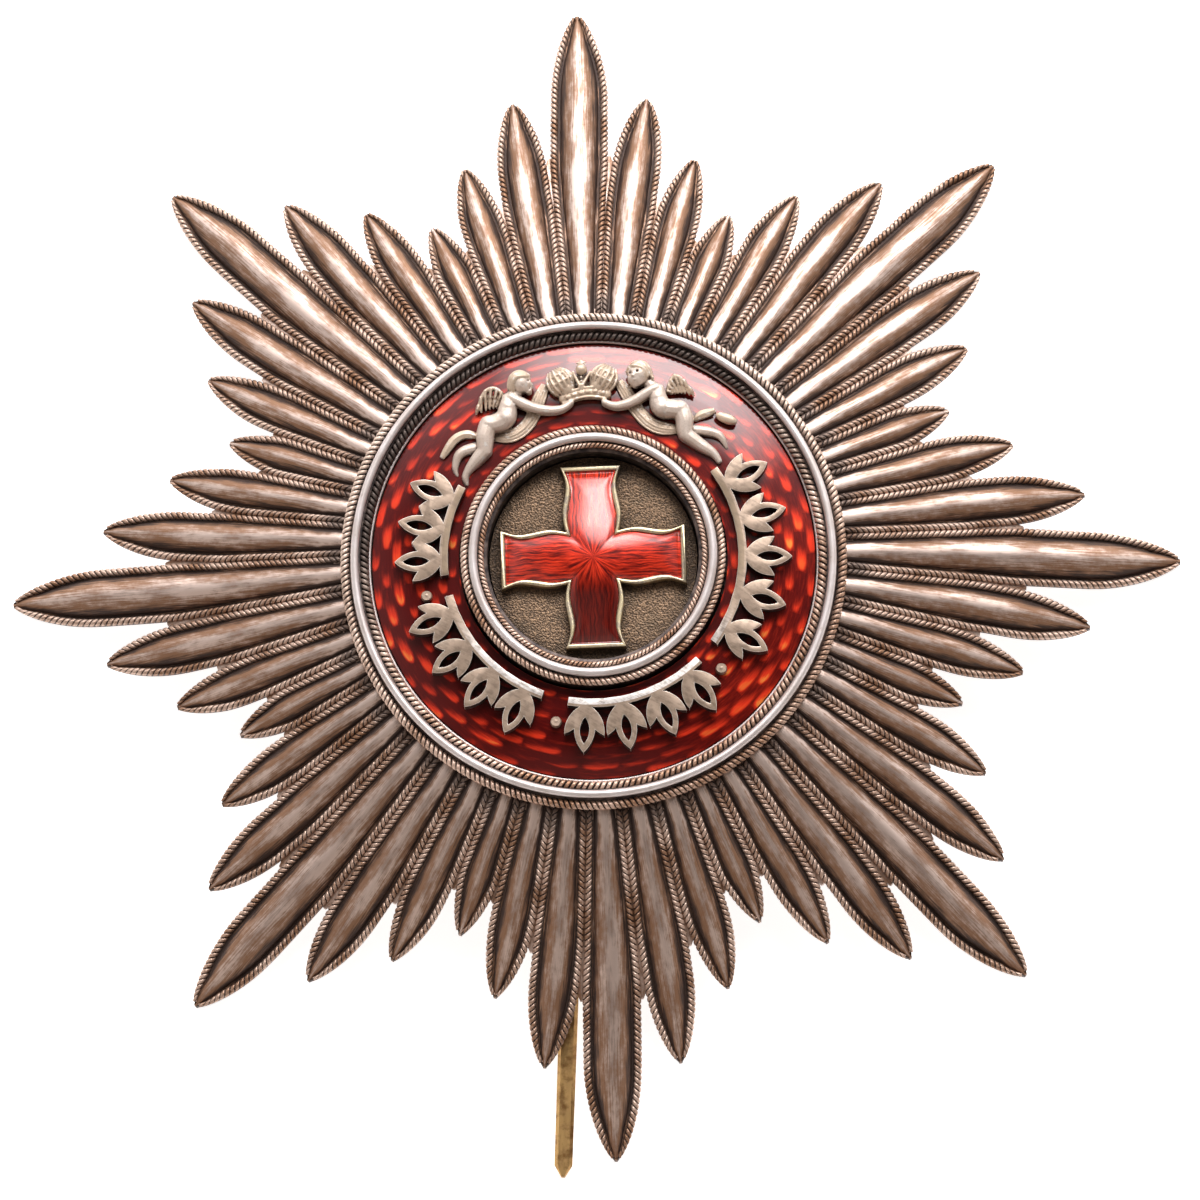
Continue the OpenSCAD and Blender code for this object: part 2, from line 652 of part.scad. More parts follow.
module cherub_right() {
    limb(RIGHT_TORSO);
    limb(RIGHT_ARM);
    limb(RIGHT_LEG);
    limb(RIGHT_FAR_LEG);
    ribbon(RIGHT_DRAPE);
    ribbon(RIGHT_TAIL);
    limb(RIGHT_NECK);
    limb(RIGHT_WING);
    limb(RIGHT_QUILLS);
    head(RIGHT_HEAD);
}

module crown_with_cherubs() {
    color(bright) cut_to_enamel() {
        crown();
        cherub_left();
        cherub_right();
    }
}

// Pin and fittings. The hinge's frame has its axle along X and the pin along -Y.
under_z = seat_z - plate_t - seat_gap;
pin_end_z = pin_float + pin_t / 2;
pin_drop = atan((hinge_z - pin_end_z) / pin_l);

module at_hinge() {
    translate([0, hinge_y, hinge_z]) rotate([0, 0, -pin_lean]) children();
}

module axle_bar(r, l) {
    rotate([0, 90, 0]) cylinder(r = r, h = l, center = true);
}

// An eight-sided slice of the pin, standing across it
module pin_slice(y, w) {
    bevel = 0.28 * pin_t;
    translate([0, y, 0]) rotate([90, 0, 0]) linear_extrude(0.01)
        polygon([for (sx = [-1, 1], sy = [-1, 1]) each
            [[sx * w / 2, sy * (pin_t / 2 - bevel)], [sx * (w / 2 - bevel), sy * pin_t / 2]]]);
}

module pin_slice_hull(y0, w0, y1, w1) {
    hull() {
        pin_slice(y0, w0);
        pin_slice(y1, w1);
    }
}

module pin() {
    color(brass) at_hinge() rotate([pin_drop, 0, 0]) difference() {
        union() {
            axle_bar(knuckle_r, knuckle_w);
            pin_slice_hull(0, pin_w, point_l - pin_l, pin_end_w);
            pin_slice_hull(point_l - pin_l, pin_end_w, -pin_l, point_w);
        }
        axle_bar(axle_r + axle_clear, 2 * knuckle_w);
    }
}

ear_x = knuckle_w / 2 + ear_clear;

module hinge() {
    plate_w = 2 * (ear_x + ear_t);
    color(brass) at_hinge() difference() {
        union() {
            translate([-plate_w / 2, -knuckle_r, under_z - foot_t - hinge_z])
                cube([plate_w, 2 * knuckle_r, foot_t]);
            for (side = [-1, 1]) translate([side * (ear_x + ear_t / 2), 0, 0]) {
                axle_bar(knuckle_r, ear_t);
                translate([-ear_t / 2, -knuckle_r, 0])
                    cube([ear_t, 2 * knuckle_r, under_z - foot_t / 2 - hinge_z]);
            }
        }
        axle_bar(axle_r + seat_gap / 2, 2 * plate_w);
    }
}

module hinge_axle() {
    color(brass) at_hinge() axle_bar(axle_r, 2 * (ear_x + ear_t));
}

// The catch opens towards the pin, which lies just beside its lip
module catch() {
    drop = (hinge_z - pin_end_z) * (hinge_y + catch_y) / pin_l;
    pin_x = -(hinge_y + catch_y) * tan(pin_lean);
    lip_x = pin_x + pin_w / 2 + catch_clear;
    wall_x = lip_x + catch_w;
    lip_z = hinge_z - drop - pin_t / 2 - lip_drop;
    color(brass) translate([0, catch_l / 2 - catch_y, 0]) rotate([90, 0, 0])
        linear_extrude(catch_l)
            polygon([[lip_x, under_z], [lip_x, under_z - foot_t], [wall_x, under_z - foot_t],
                     [wall_x, lip_z + catch_t / 2], [lip_x, lip_z + catch_t / 2],
                     [lip_x, lip_z - catch_t / 2], [wall_x + catch_t, lip_z - catch_t / 2],
                     [wall_x + catch_t, under_z]]);
}

star_body();
outer_ring();
enamel_ring();
ornament_right();
ornament_lower_right();
ornament_lower_left();
ornament_left();
pellet_right();
pellet_lower();
pellet_left();
crown_with_cherubs();
inner_ring();
centre_field();
cross_frame();
cross_enamel();
hinge();
hinge_axle();
pin();
catch();
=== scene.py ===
"""Breast star of silver and enamel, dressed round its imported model.

Shapes are worked out in millimetres and set down in metres when a piece is finished.
The star lies on its tips: +Z is the front, +Y is the top ray.
"""

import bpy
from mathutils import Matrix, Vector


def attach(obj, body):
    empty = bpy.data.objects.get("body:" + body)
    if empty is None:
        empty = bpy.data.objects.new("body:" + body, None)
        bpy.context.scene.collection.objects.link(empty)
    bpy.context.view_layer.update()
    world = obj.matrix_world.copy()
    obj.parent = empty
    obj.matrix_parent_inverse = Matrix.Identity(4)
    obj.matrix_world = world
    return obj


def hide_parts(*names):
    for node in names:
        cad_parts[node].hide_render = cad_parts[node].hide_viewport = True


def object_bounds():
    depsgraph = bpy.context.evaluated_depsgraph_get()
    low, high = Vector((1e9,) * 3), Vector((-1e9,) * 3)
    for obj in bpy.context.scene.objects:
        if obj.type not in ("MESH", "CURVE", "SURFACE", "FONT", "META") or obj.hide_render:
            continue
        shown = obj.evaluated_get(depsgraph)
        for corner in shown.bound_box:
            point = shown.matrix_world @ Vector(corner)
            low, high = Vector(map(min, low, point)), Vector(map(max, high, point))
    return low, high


bl_info = {
    "name": "Breast star",
    "version": (1, 0, 0),
    "blender": (4, 5, 0),
    "location": "View3D > Sidebar > Breast star",
    "description": "Rays, rope borders, rings, enamel, relief and stage of a breast star",
    "category": "Add Mesh",
}

from math import cos, pi, radians, sin, sqrt

import bpy
import bmesh
from mathutils import Matrix, Vector
from mathutils.kdtree import KDTree

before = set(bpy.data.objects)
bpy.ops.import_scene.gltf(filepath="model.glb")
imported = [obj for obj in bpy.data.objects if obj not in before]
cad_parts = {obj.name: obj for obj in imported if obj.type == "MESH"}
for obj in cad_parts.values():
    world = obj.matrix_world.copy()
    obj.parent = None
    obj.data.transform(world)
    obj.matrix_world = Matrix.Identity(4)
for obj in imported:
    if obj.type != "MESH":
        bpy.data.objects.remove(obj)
CAD_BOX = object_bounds()
MM = 0.001


# Sizes and colours that a user would change

def length(name, description, default):
    return bpy.props.FloatProperty(name=name, description=description, default=default,
                                   min=0, unit="LENGTH", subtype="DISTANCE", precision=5)


def colour(name, description, default):
    return bpy.props.FloatVectorProperty(name=name, description=description, default=default,
                                         size=3, min=0, max=1, subtype="COLOR")


class StarSizes(bpy.types.PropertyGroup):
    long_tip: length("Long rays", "Radius to the tips of the long rays", CAD_BOX[1][1])
    second_tip: length("Second rays", "Radius to the tips of the second rays", 0.0382)
    third_tip: length("Third rays", "Radius to the tips of the third rays", 0.0337)
    short_tip: length("Short rays", "Radius to the tips of the short rays", 0.03)
    rope_pitch: length("Rope pitch", "Distance between two strands of a ray's rope border",
                       0.00045)
    rope_width: length("Rope width", "Width of the rope border at the long valleys", 0.0006)
    bead_radius: length("Ring bead", "Radius of the rings' polished beads", 0.0003)


class StarFinishes(bpy.types.PropertyGroup):
    silver: colour("Silver", "Worn silver on the crests", (0.76, 0.60, 0.525))
    # This brown also paints shade: towards the rays' tips and at the lower right of the ring's
    # rope.
    patina_and_shade: colour("Patina", "Brown patina on the silver's sides", (0.29, 0.155, 0.09))
    # This dark also paints shade: a shadow of the bead on the ring's rope, and darkness towards the
    # rays' tips.
    tarnish_and_shade: colour("Tarnish", "Blue-black tarnish in the hollows", (0.042, 0.031, 0.03))
    enamel: colour("Enamel", "Bright red of the enamel over the engraving", (0.90, 0.045, 0.014))
    deep_enamel: colour("Deep enamel", "Darkest red of the enamel", (0.10, 0.002, 0.0015))
    gilding: colour("Gilding", "Pale worn gilding of the cross", (0.86, 0.72, 0.46))
    brass: colour("Brass", "Aged brass of the pin and its fittings", (0.60, 0.37, 0.15))


class StarStage(bpy.types.PropertyGroup):
    key: bpy.props.FloatProperty(name="Main light", description="Power of the large soft light",
                                 default=1.0, min=0)
    surround: bpy.props.FloatProperty(name="Surround", description="Brightness all round",
                                      default=0.035, min=0)


# Small helpers for modelling by operators

def only(*objects):
    """Leaves just these objects selected, the first one active."""
    bpy.ops.object.select_all(action="DESELECT")
    for one in objects:
        one.select_set(True)
    bpy.context.view_layer.objects.active = objects[0]


def add(kind, **settings):
    """A new primitive, selected alone."""
    bpy.ops.object.select_all(action="DESELECT")
    getattr(bpy.ops.mesh, f"primitive_{kind}_add")(**settings)
    return bpy.context.active_object


class Editing:
    """Edit mode on one object, with all of it selected."""

    def __init__(self, piece, mode="VERT"):
        self.piece, self.mode = piece, mode

    def __enter__(self):
        only(self.piece)
        bpy.ops.object.mode_set(mode="EDIT")
        bpy.ops.mesh.select_mode(type=self.mode)
        bpy.ops.mesh.select_all(action="SELECT")
        return self

    def pick(self, test):
        """Selects the vertices that pass a test, and no others."""
        bpy.ops.mesh.select_all(action="DESELECT")
        shape = bmesh.from_edit_mesh(self.piece.data)
        for vertex in shape.verts:
            if test(vertex):
                vertex.select_set(True)
        shape.select_flush_mode()
        bmesh.update_edit_mesh(self.piece.data)

    def face_outwards(self):
        bpy.ops.mesh.select_all(action="SELECT")
        bpy.ops.mesh.normals_make_consistent(inside=False)

    def __exit__(self, *problem):
        bpy.ops.object.mode_set(mode="OBJECT")


def modify(piece, kind, **settings):
    """Adds a modifier and applies it."""
    only(piece)
    modifier = piece.modifiers.new(kind.title(), kind)
    for key, value in settings.items():
        setattr(modifier, key, value)
    bpy.ops.object.modifier_apply(modifier=modifier.name)


def settle(piece):
    """Moves the object's place, turn and scale into its mesh."""
    only(piece)
    bpy.ops.object.transform_apply(location=True, rotation=True, scale=True)
    return piece


def twin(piece):
    """A copy with a mesh of its own."""
    other = piece.copy()
    other.data = piece.data.copy()
    bpy.context.scene.collection.objects.link(other)
    return other


def join(pieces):
    only(*pieces)
    if len(pieces) > 1:
        bpy.ops.object.join()
    return bpy.context.active_object


def remove(*pieces):
    for piece in pieces:
        bpy.data.objects.remove(piece)


def mirrored(piece):
    """A copy on the other side of the middle plane, with its faces outwards."""
    other = twin(piece)
    other.scale.x = -1
    settle(other)
    with Editing(other):
        bpy.ops.mesh.flip_normals()
    return other


def turned(piece, angles, shift=None):
    """Copies of a piece round the star's axis; each copy's pattern is shifted along."""
    made = []
    for number, angle in enumerate(angles):
        other = twin(piece)
        other.rotation_euler.z = radians(angle)
        layer = other.data.uv_layers.active
        if layer and shift is not None:
            for spot in layer.uv:
                spot.vector.y += shift[number]
        made.append(other)
    return made


def set_down(piece, name, material, node, smooth):
    """Finishes a piece of the star: metres, name, greatest angle that is shaded smooth,
    material, and the CAD node that it stands for."""
    piece.scale = (MM,) * 3
    settle(piece)
    piece.name = piece.data.name = name
    bpy.ops.object.shade_smooth_by_angle(angle=radians(smooth))
    if material:
        piece.data.materials.clear()
        piece.data.materials.append(material)
    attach(piece, "star")
    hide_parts(node)


def loft(profile, stations):
    """Extrudes a closed loop that stands in the XZ plane along Y.
    Columns of a station: y, width scale, height scale, z, x."""
    with Editing(profile) as edit:
        last = stations[0]
        bpy.ops.transform.resize(value=(last[1], 1, last[2]), center_override=(0, 0, 0))
        bpy.ops.transform.translate(value=(last[4], last[0], last[3]))
        bpy.ops.mesh.edge_face_add()
        for here in stations[1:]:
            step = (here[4] - last[4], here[0] - last[0], here[3] - last[3])
            bpy.ops.mesh.extrude_region_move(TRANSFORM_OT_translate={"value": step})
            bpy.ops.transform.resize(value=(here[1] / last[1], 1, here[2] / last[2]),
                                     center_override=(here[4], here[0], here[3]))
            last = here
        edit.face_outwards()
    return profile


def lathe(profile, segments):
    """Turns a closed profile of (radius, height) round the star's axis."""
    r, z = profile[0]
    ring = settle(add("circle", vertices=segments, radius=r, location=(0, 0, z),
                      fill_type="NOTHING"))
    with Editing(ring) as edit:
        for next_r, next_z in (*profile[1:], profile[0]):
            bpy.ops.mesh.extrude_region_move(TRANSFORM_OT_translate={"value": (0, 0, next_z - z)})
            bpy.ops.transform.resize(value=(next_r / r, next_r / r, 1),
                                     center_override=(0, 0, next_z))
            r, z = next_r, next_z
        bpy.ops.mesh.select_all(action="SELECT")
        bpy.ops.mesh.remove_doubles(threshold=0.002)
        edit.face_outwards()
    return ring


def rope(pitch, width, count, hand=1):
    """A straight rope of two strands along X, and how deep in a groove each point is."""
    strand = settle(add("circle", vertices=12, radius=width / 2, rotation=(0, pi / 2, 0),
                        fill_type="NOTHING"))
    with Editing(strand) as edit:
        edit.pick(lambda v: abs(v.co.y) < 0.1 * width)
        bpy.ops.transform.resize(value=(1, 1, 0.58))
        edit.pick(lambda v: 0.2 * width < abs(v.co.y) < 0.3 * width)
        bpy.ops.transform.resize(value=(1, 1.12, 0.9))
    groove = strand.data.attributes.new("groove", "FLOAT", "POINT")
    for point, vertex in zip(groove.data, strand.data.vertices):
        point.value = 1 if abs(vertex.co.y) < 0.1 * width else (
            0.2 if abs(vertex.co.y) < 0.4 * width else 0)
    with Editing(strand) as edit:
        for n in range(4):
            bpy.ops.mesh.extrude_region_move(
                TRANSFORM_OT_translate={"value": (pitch / 4, 0, 0)})
            bpy.ops.transform.rotate(value=-hand * pi / 4, orient_axis="X",
                                     center_override=(pitch * (n + 1) / 4, 0, 0))
        edit.face_outwards()
    modify(strand, "ARRAY", count=count, use_relative_offset=False, use_constant_offset=True,
           constant_offset_displace=(pitch, 0, 0), use_merge_vertices=True,
           merge_threshold=0.004)
    return strand


def curve_near(points, radii, cyclic=False):
    """A smooth curve with a radius for each point."""
    curve = bpy.data.curves.new("curve", "CURVE")
    curve.dimensions = "3D"
    curve.resolution_u = 6
    line = curve.splines.new("NURBS")
    line.points.add(len(points) - 1)
    for spot, place, radius in zip(line.points, points, radii):
        spot.co = (*place, 1)
        spot.radius = radius
    line.order_u = 3
    line.use_endpoint_u = not cyclic
    line.use_cyclic_u = cyclic
    made = bpy.data.objects.new("curve", curve)
    bpy.context.scene.collection.objects.link(made)
    return made


def along_curve(piece, points, radii, cyclic=False):
    """Bends a piece that lies along X onto a curve."""
    guide = curve_near(points, radii, cyclic)
    guide.data.twist_mode = "Z_UP"
    modify(piece, "CURVE", object=guide, deform_axis="POS_X")
    remove(guide)
    return piece


def reach(points):
    return sum((Vector(a) - Vector(b)).length for a, b in zip(points, points[1:]))


def ring_rope(radius, height, width, pitch, hand):
    """A rope laid in a circle, with a whole number of turns."""
    corners = 72
    points = [(radius * cos(2 * pi * n / corners), radius * sin(2 * pi * n / corners), height)
              for n in range(corners)]
    count = round(2 * pi * radius / pitch)
    piece = rope(2 * pi * radius / count, width, count, hand)
    along_curve(piece, points, [1] * corners, cyclic=True)
    with Editing(piece):
        bpy.ops.mesh.remove_doubles(threshold=0.03)
    return piece


def tube(points, radii, sides=3):
    """A limb along a smooth curve, with round ends."""
    limb = curve_near(points, radii)
    limb.data.bevel_depth = 1
    limb.data.bevel_resolution = sides
    limb.data.use_fill_caps = True
    only(limb)
    bpy.ops.object.convert(target="MESH")
    limb = bpy.context.active_object
    ends = [blob(points[n], radii[n]) for n in (0, -1)]
    return join([limb] + ends)


def blob(place, radius, stretch=(1, 1, 1), turn=(0, 0, 0), detail=2):
    """An ellipsoid."""
    piece = add("ico_sphere", subdivisions=detail, radius=radius, location=place)
    piece.scale = stretch
    piece.rotation_euler = turn
    return settle(piece)


def mix(a, b, t):
    return a + (b - a) * t


def ramp(a, b, x):
    """0 at a, 1 at b, straight between."""
    return min(1, max(0, (x - a) / (b - a)))


# Finishes

class Wire:
    """A node's output that adds its own maths nodes."""

    def __init__(self, finish, socket):
        self.finish, self.socket = finish, socket

    def maths(self, operation, *values):
        return self.finish.node("ShaderNodeMath", {"operation": operation},
                                dict(enumerate(values)))

    def __add__(self, other): return self.maths("ADD", self, other)
    def __radd__(self, other): return self.maths("ADD", other, self)
    def __sub__(self, other): return self.maths("SUBTRACT", self, other)
    def __rsub__(self, other): return self.maths("SUBTRACT", other, self)
    def __mul__(self, other): return self.maths("MULTIPLY", self, other)
    def __rmul__(self, other): return self.maths("MULTIPLY", other, self)
    def __truediv__(self, other): return self.maths("DIVIDE", self, other)
    def __rtruediv__(self, other): return self.maths("DIVIDE", other, self)
    def __pow__(self, other): return self.maths("POWER", self, other)
    def __gt__(self, other): return self.maths("GREATER_THAN", self, other)
    def __lt__(self, other): return self.maths("LESS_THAN", self, other)
    def whole(self): return self.maths("FLOOR", self)
    def part(self): return self.maths("FRACT", self)
    def size(self): return self.maths("ABSOLUTE", self)

    def span(self, low, high):
        """0 at low, 1 at high, smooth between."""
        return self.finish.node("ShaderNodeMapRange", {"interpolation_type": "SMOOTHSTEP"},
                                {0: self, 1: low, 2: high})


def polar(x, y):
    """Distance and direction from the star's axis."""
    return (x * x + y * y) ** 0.5, x.maths("ARCTAN2", y, x)


class Finish:
    """A material, or the world, whose nodes are being laid."""

    def __init__(self, name, world=False):
        self.material = (bpy.data.worlds if world else bpy.data.materials).new(name)
        self.material.use_nodes = True
        self.tree = self.material.node_tree
        self.tree.nodes.clear()
        self.out = self.tree.nodes.new(f"ShaderNodeOutput{'World' if world else 'Material'}")

    def node(self, kind, settings=None, sockets=None, out=0):
        made = self.tree.nodes.new(kind)
        for key, value in (settings or {}).items():
            setattr(made, key, value)
        for key, value in (sockets or {}).items():
            if isinstance(value, Wire):
                self.tree.links.new(value.socket, made.inputs[key])
            else:
                made.inputs[key].default_value = value
        return Wire(self, made.outputs[out])

    def place(self):
        """Object coordinates in millimetres."""
        where = self.node("ShaderNodeTexCoord", out="Object")
        return self.node("ShaderNodeVectorMath", {"operation": "SCALE"}, {0: where, 3: 1 / MM})

    def split(self, vector):
        apart = self.node("ShaderNodeSeparateXYZ", sockets={0: vector})
        return [Wire(self, s) for s in apart.socket.node.outputs]

    def vector(self, x, y, z=0.0):
        return self.node("ShaderNodeCombineXYZ", sockets={0: x, 1: y, 2: z})

    def attribute(self, name):
        return self.node("ShaderNodeAttribute", {"attribute_name": name}, out="Fac")

    def noise(self, vector, scale, detail=3.0, roughness=0.5):
        return self.node("ShaderNodeTexNoise", sockets={
            "Vector": vector, "Scale": scale, "Detail": detail, "Roughness": roughness})

    def random(self, vector):
        return self.node("ShaderNodeTexWhiteNoise", {"noise_dimensions": "3D"}, {0: vector})

    def blend(self, amount, first, second):
        return self.node("ShaderNodeMix", {"data_type": "RGBA"},
                         {0: amount, 6: self.shade(first), 7: self.shade(second)}, out=2)

    @staticmethod
    def shade(value):
        return value if isinstance(value, Wire) else (*tuple(value)[:3], 1)

    def bump(self, height, strength, distance):
        return self.node("ShaderNodeBump", sockets={
            "Height": height, "Strength": strength, "Distance": distance * MM})

    def crevice(self, reach_mm):
        """How hidden a point is: 0 in the open, up to 1 in a corner; the finishes paint shade with
        it.
        """
        return 1.0 - self.node("ShaderNodeAmbientOcclusion", {"samples": 4},
                               {"Distance": reach_mm * MM}, out="AO")

    def surface(self, **sockets):
        """Makes the material of a surface from the sockets' names and values."""
        names = {key.replace("_", " ").title(): value for key, value in sockets.items()}
        names = {key.replace("Ior", "IOR"): value for key, value in names.items()}
        colour_in = names.pop("Base Color")
        shader = self.node("ShaderNodeBsdfPrincipled", sockets={
            "Base Color": self.shade(colour_in), **names}, out="BSDF")
        self.tree.links.new(shader.socket, self.out.inputs[0])
        return self.material


def ray_silver(finishes):
    """Worn silver of the rays: pale crest, brown sides, dark margins, brush lines lengthwise, and
    painted shade towards the tips.
    """
    f = Finish("ray_silver")
    across, along, _ = f.split(f.node("ShaderNodeUVMap", {"uv_map": "ray"}))
    edge = f.attribute("edge")
    root = f.attribute("root")
    lines = f.noise(f.vector(across * 9.0, along * 0.35), 1.0, 4.0, 0.65)
    fine = f.noise(f.vector(across * 30.0, along * 0.9), 1.0, 2.0, 0.6)
    clouds = f.noise(f.vector(across * 0.9, along * 0.28), 1.0, 3.0, 0.6)
    spots = f.noise(f.vector(across * 2.5, along * 1.6), 1.0, 4.0, 0.7)
    # painted shade: browner and darker towards the tips of the rays
    painted_tip_shade = f.attribute("tip") * 0.28
    crest = f.blend((clouds + (lines - 0.5) * 0.5).span(0.38, 0.62), finishes.silver,
                    (0.50, 0.385, 0.335))
    brown = (edge * 0.85 + (spots - 0.5) * 0.8 + (clouds - 0.5) * 1.2 + (lines - 0.5) * 1.3
             + painted_tip_shade).span(0.05, 0.75)
    base = f.blend(brown, crest, finishes.patina_and_shade)
    black = (edge + (lines - 0.5) * 1.0 + (clouds - 0.5) * 0.7 + root * 0.3
             + painted_tip_shade * 0.5).span(0.7, 1.0)
    base = f.blend(black * 0.9, base, finishes.tarnish_and_shade)
    flecks = (spots + (lines - 0.5) * 0.5).span(0.66, 0.78)
    base = f.blend(flecks * 0.4, base, finishes.tarnish_and_shade)
    rough = 0.4 + brown * 0.08 + (lines - 0.5) * 0.25 + black * 0.1
    return f.surface(base_color=base, metallic=0.9 - brown * 0.3, roughness=rough,
                     normal=f.bump(lines * 0.6 + fine * 0.4, 0.35, 0.05))


def rope_silver(name, finishes, light=1.0, shaded_inside=0.0, roots=False):
    """Silver rope: worn tops of the strands, dark grooves. With roots it is dark beside the ring.
    With shaded_inside it has painted light towards the top and painted shade, brown, at the lower
    right, and within that radius a painted shadow of the bead, black towards the top and the left."""
    f = Finish(name)
    spot = f.place()
    groove = f.attribute("groove")
    clouds = f.noise(spot, 0.35, 3.0)
    grit = f.noise(spot, 7.0, 3.0)
    top = tuple(min(1, light * c * k) for c, k in zip(finishes.silver, (1.04, 0.97, 0.9)))
    side = tuple(min(1, light * c * 1.25) for c in finishes.patina_and_shade)
    base = f.blend((clouds + (grit - 0.5) * 0.6).span(0.35, 0.7), top, side)
    dark = (groove + (grit - 0.5) * 0.5 + (clouds - 0.5) * 0.6).span(0.2, 0.8)
    base = f.blend(dark * 0.93, base, tuple(c * 1.2 for c in finishes.tarnish_and_shade))
    x, y, _ = f.split(spot)
    r, _ = polar(x, y)
    if roots:
        base = f.blend((r + (clouds - 0.5) * 3.0).span(21.5, 19.6) * 0.75, base,
                       finishes.tarnish_and_shade)
    if shaded_inside:
        # painted light: paler towards the top of the star
        base = f.blend((y - x * 0.3).span(-16.0, 16.0) * 0.5, base, (0.98, 0.84, 0.73))
        # painted shade: browner at the lower right
        base = f.blend((x - y).span(14.0, 28.0) * 0.5, base, finishes.patina_and_shade)
        base = f.blend(dark * 0.8, base, finishes.tarnish_and_shade)
        # painted shadow of the bead: black towards the top and the left inside the given radius
        upper = (y * 0.9 - x * 0.35 + (clouds - 0.5) * 12.0).span(-4.0, 9.0)
        base = f.blend((r < shaded_inside) * upper * 0.9, base, finishes.tarnish_and_shade)
    return f.surface(base_color=base, metallic=0.7, roughness=0.48 + dark * 0.15)


def bright_silver(name, finishes):
    """Polished silver of the rings, with fine turned scratches and brown stains."""
    f = Finish(name)
    spot = f.place()
    x, y, z = f.split(spot)
    r, angle = polar(x, y)
    turned_lines = f.noise(f.vector(r * 14.0, angle * 2.5, z * 14.0), 1.0, 3.0, 0.7)
    clouds = f.noise(spot, 0.5, 4.0, 0.6)
    stains = f.noise(spot, 2.2, 4.0, 0.6)
    base = f.blend(clouds.span(0.3, 0.7), (0.80, 0.73, 0.72), (0.66, 0.575, 0.54))
    base = f.blend((stains + (turned_lines - 0.5) * 0.4).span(0.62, 0.8) * 0.5, base,
                   finishes.patina_and_shade)
    return f.surface(base_color=base, metallic=0.6,
                     roughness=0.36 + turned_lines * 0.16,
                     normal=f.bump(turned_lines, 0.25, 0.03))


def dark_silver():
    """Tarnished metal low between the mouldings; on the bands' upright sides it is painted shade.
    """
    f = Finish("dark_silver")
    clouds = f.noise(f.place(), 1.2, 4.0, 0.6)
    base = f.blend(clouds.span(0.35, 0.75), (0.045, 0.036, 0.036), (0.20, 0.15, 0.13))
    return f.surface(base_color=base, metallic=0.8, roughness=0.5)


def relief_silver():
    """Cast silver, matt: a painted highlight where the form stands out, brown in its hollows,
    painted shade in its crevices.
    The crown, cloth and wings are a little golden."""
    f = Finish("cast_silver")
    spot = f.place()
    form = f.node("ShaderNodeNewGeometry", out="Pointiness")
    golden = f.attribute("golden")
    grain = f.noise(spot, 8.0, 4.0, 0.6)
    clouds = f.noise(spot, 0.9, 3.0)
    body = f.blend(golden, (0.86, 0.725, 0.63), (0.76, 0.595, 0.45))
    body = f.blend(clouds.span(0.35, 0.75) * 0.4, body, (0.60, 0.46, 0.36))
    hollow = (form + (grain - 0.5) * 0.03).span(0.5, 0.445)
    base = f.blend(hollow * 0.9, body, (0.10, 0.06, 0.04))
    # painted shade in the crevices between the forms
    base = f.blend(f.crevice(0.8).span(0.15, 0.65) * 0.85, base, (0.06, 0.033, 0.022))
    # painted highlight where the form stands out
    base = f.blend((form + (grain - 0.5) * 0.02).span(0.53, 0.6) * 0.7, base, (0.95, 0.90, 0.85))
    base = f.blend(grain.span(0.52, 0.72) * 0.35, base, (0.30, 0.21, 0.15))
    return f.surface(base_color=base, metallic=0.5, roughness=0.4 + grain * 0.14,
                     normal=f.bump(grain, 0.45, 0.05))


def band_silver(name, light):
    """Worn silver of the bands, with fine file marks. The rails have painted shade, browner, at the
    top and a painted highlight, nearly white, at the bottom."""
    f = Finish(name)
    spot = f.place()
    x, y, z = f.split(spot)
    marks = f.noise(f.vector(x * 3.0 + y * 5.0, y * 0.6 - x * 0.4, z * 4.0), 1.0, 3.0, 0.6)
    stains = f.noise(spot, 1.7, 4.0, 0.6)
    rail = polar(x, y)[0] < 11.5
    # painted highlight: the rails nearly white at the bottom
    base = f.blend(rail * y.span(-4.0, -8.0), light, (0.95, 0.89, 0.85))
    # painted shade: the rails browner at the top
    base = f.blend(rail * y.span(-4.0, -1.0) * 0.7, base, (0.30, 0.22, 0.14))
    base = f.blend((stains + (marks - 0.5) * 0.7).span(0.4, 0.75) * 0.7, base,
                   tuple(c * 0.5 for c in light))
    # painted shade in the corners beside the bands
    base = f.blend(f.crevice(0.5).span(0.2, 0.7) * 0.8, base, (0.04, 0.025, 0.018))
    return f.surface(base_color=base, metallic=0.5, roughness=0.4 + marks * 0.12,
                     normal=f.bump(marks, 0.25, 0.03))


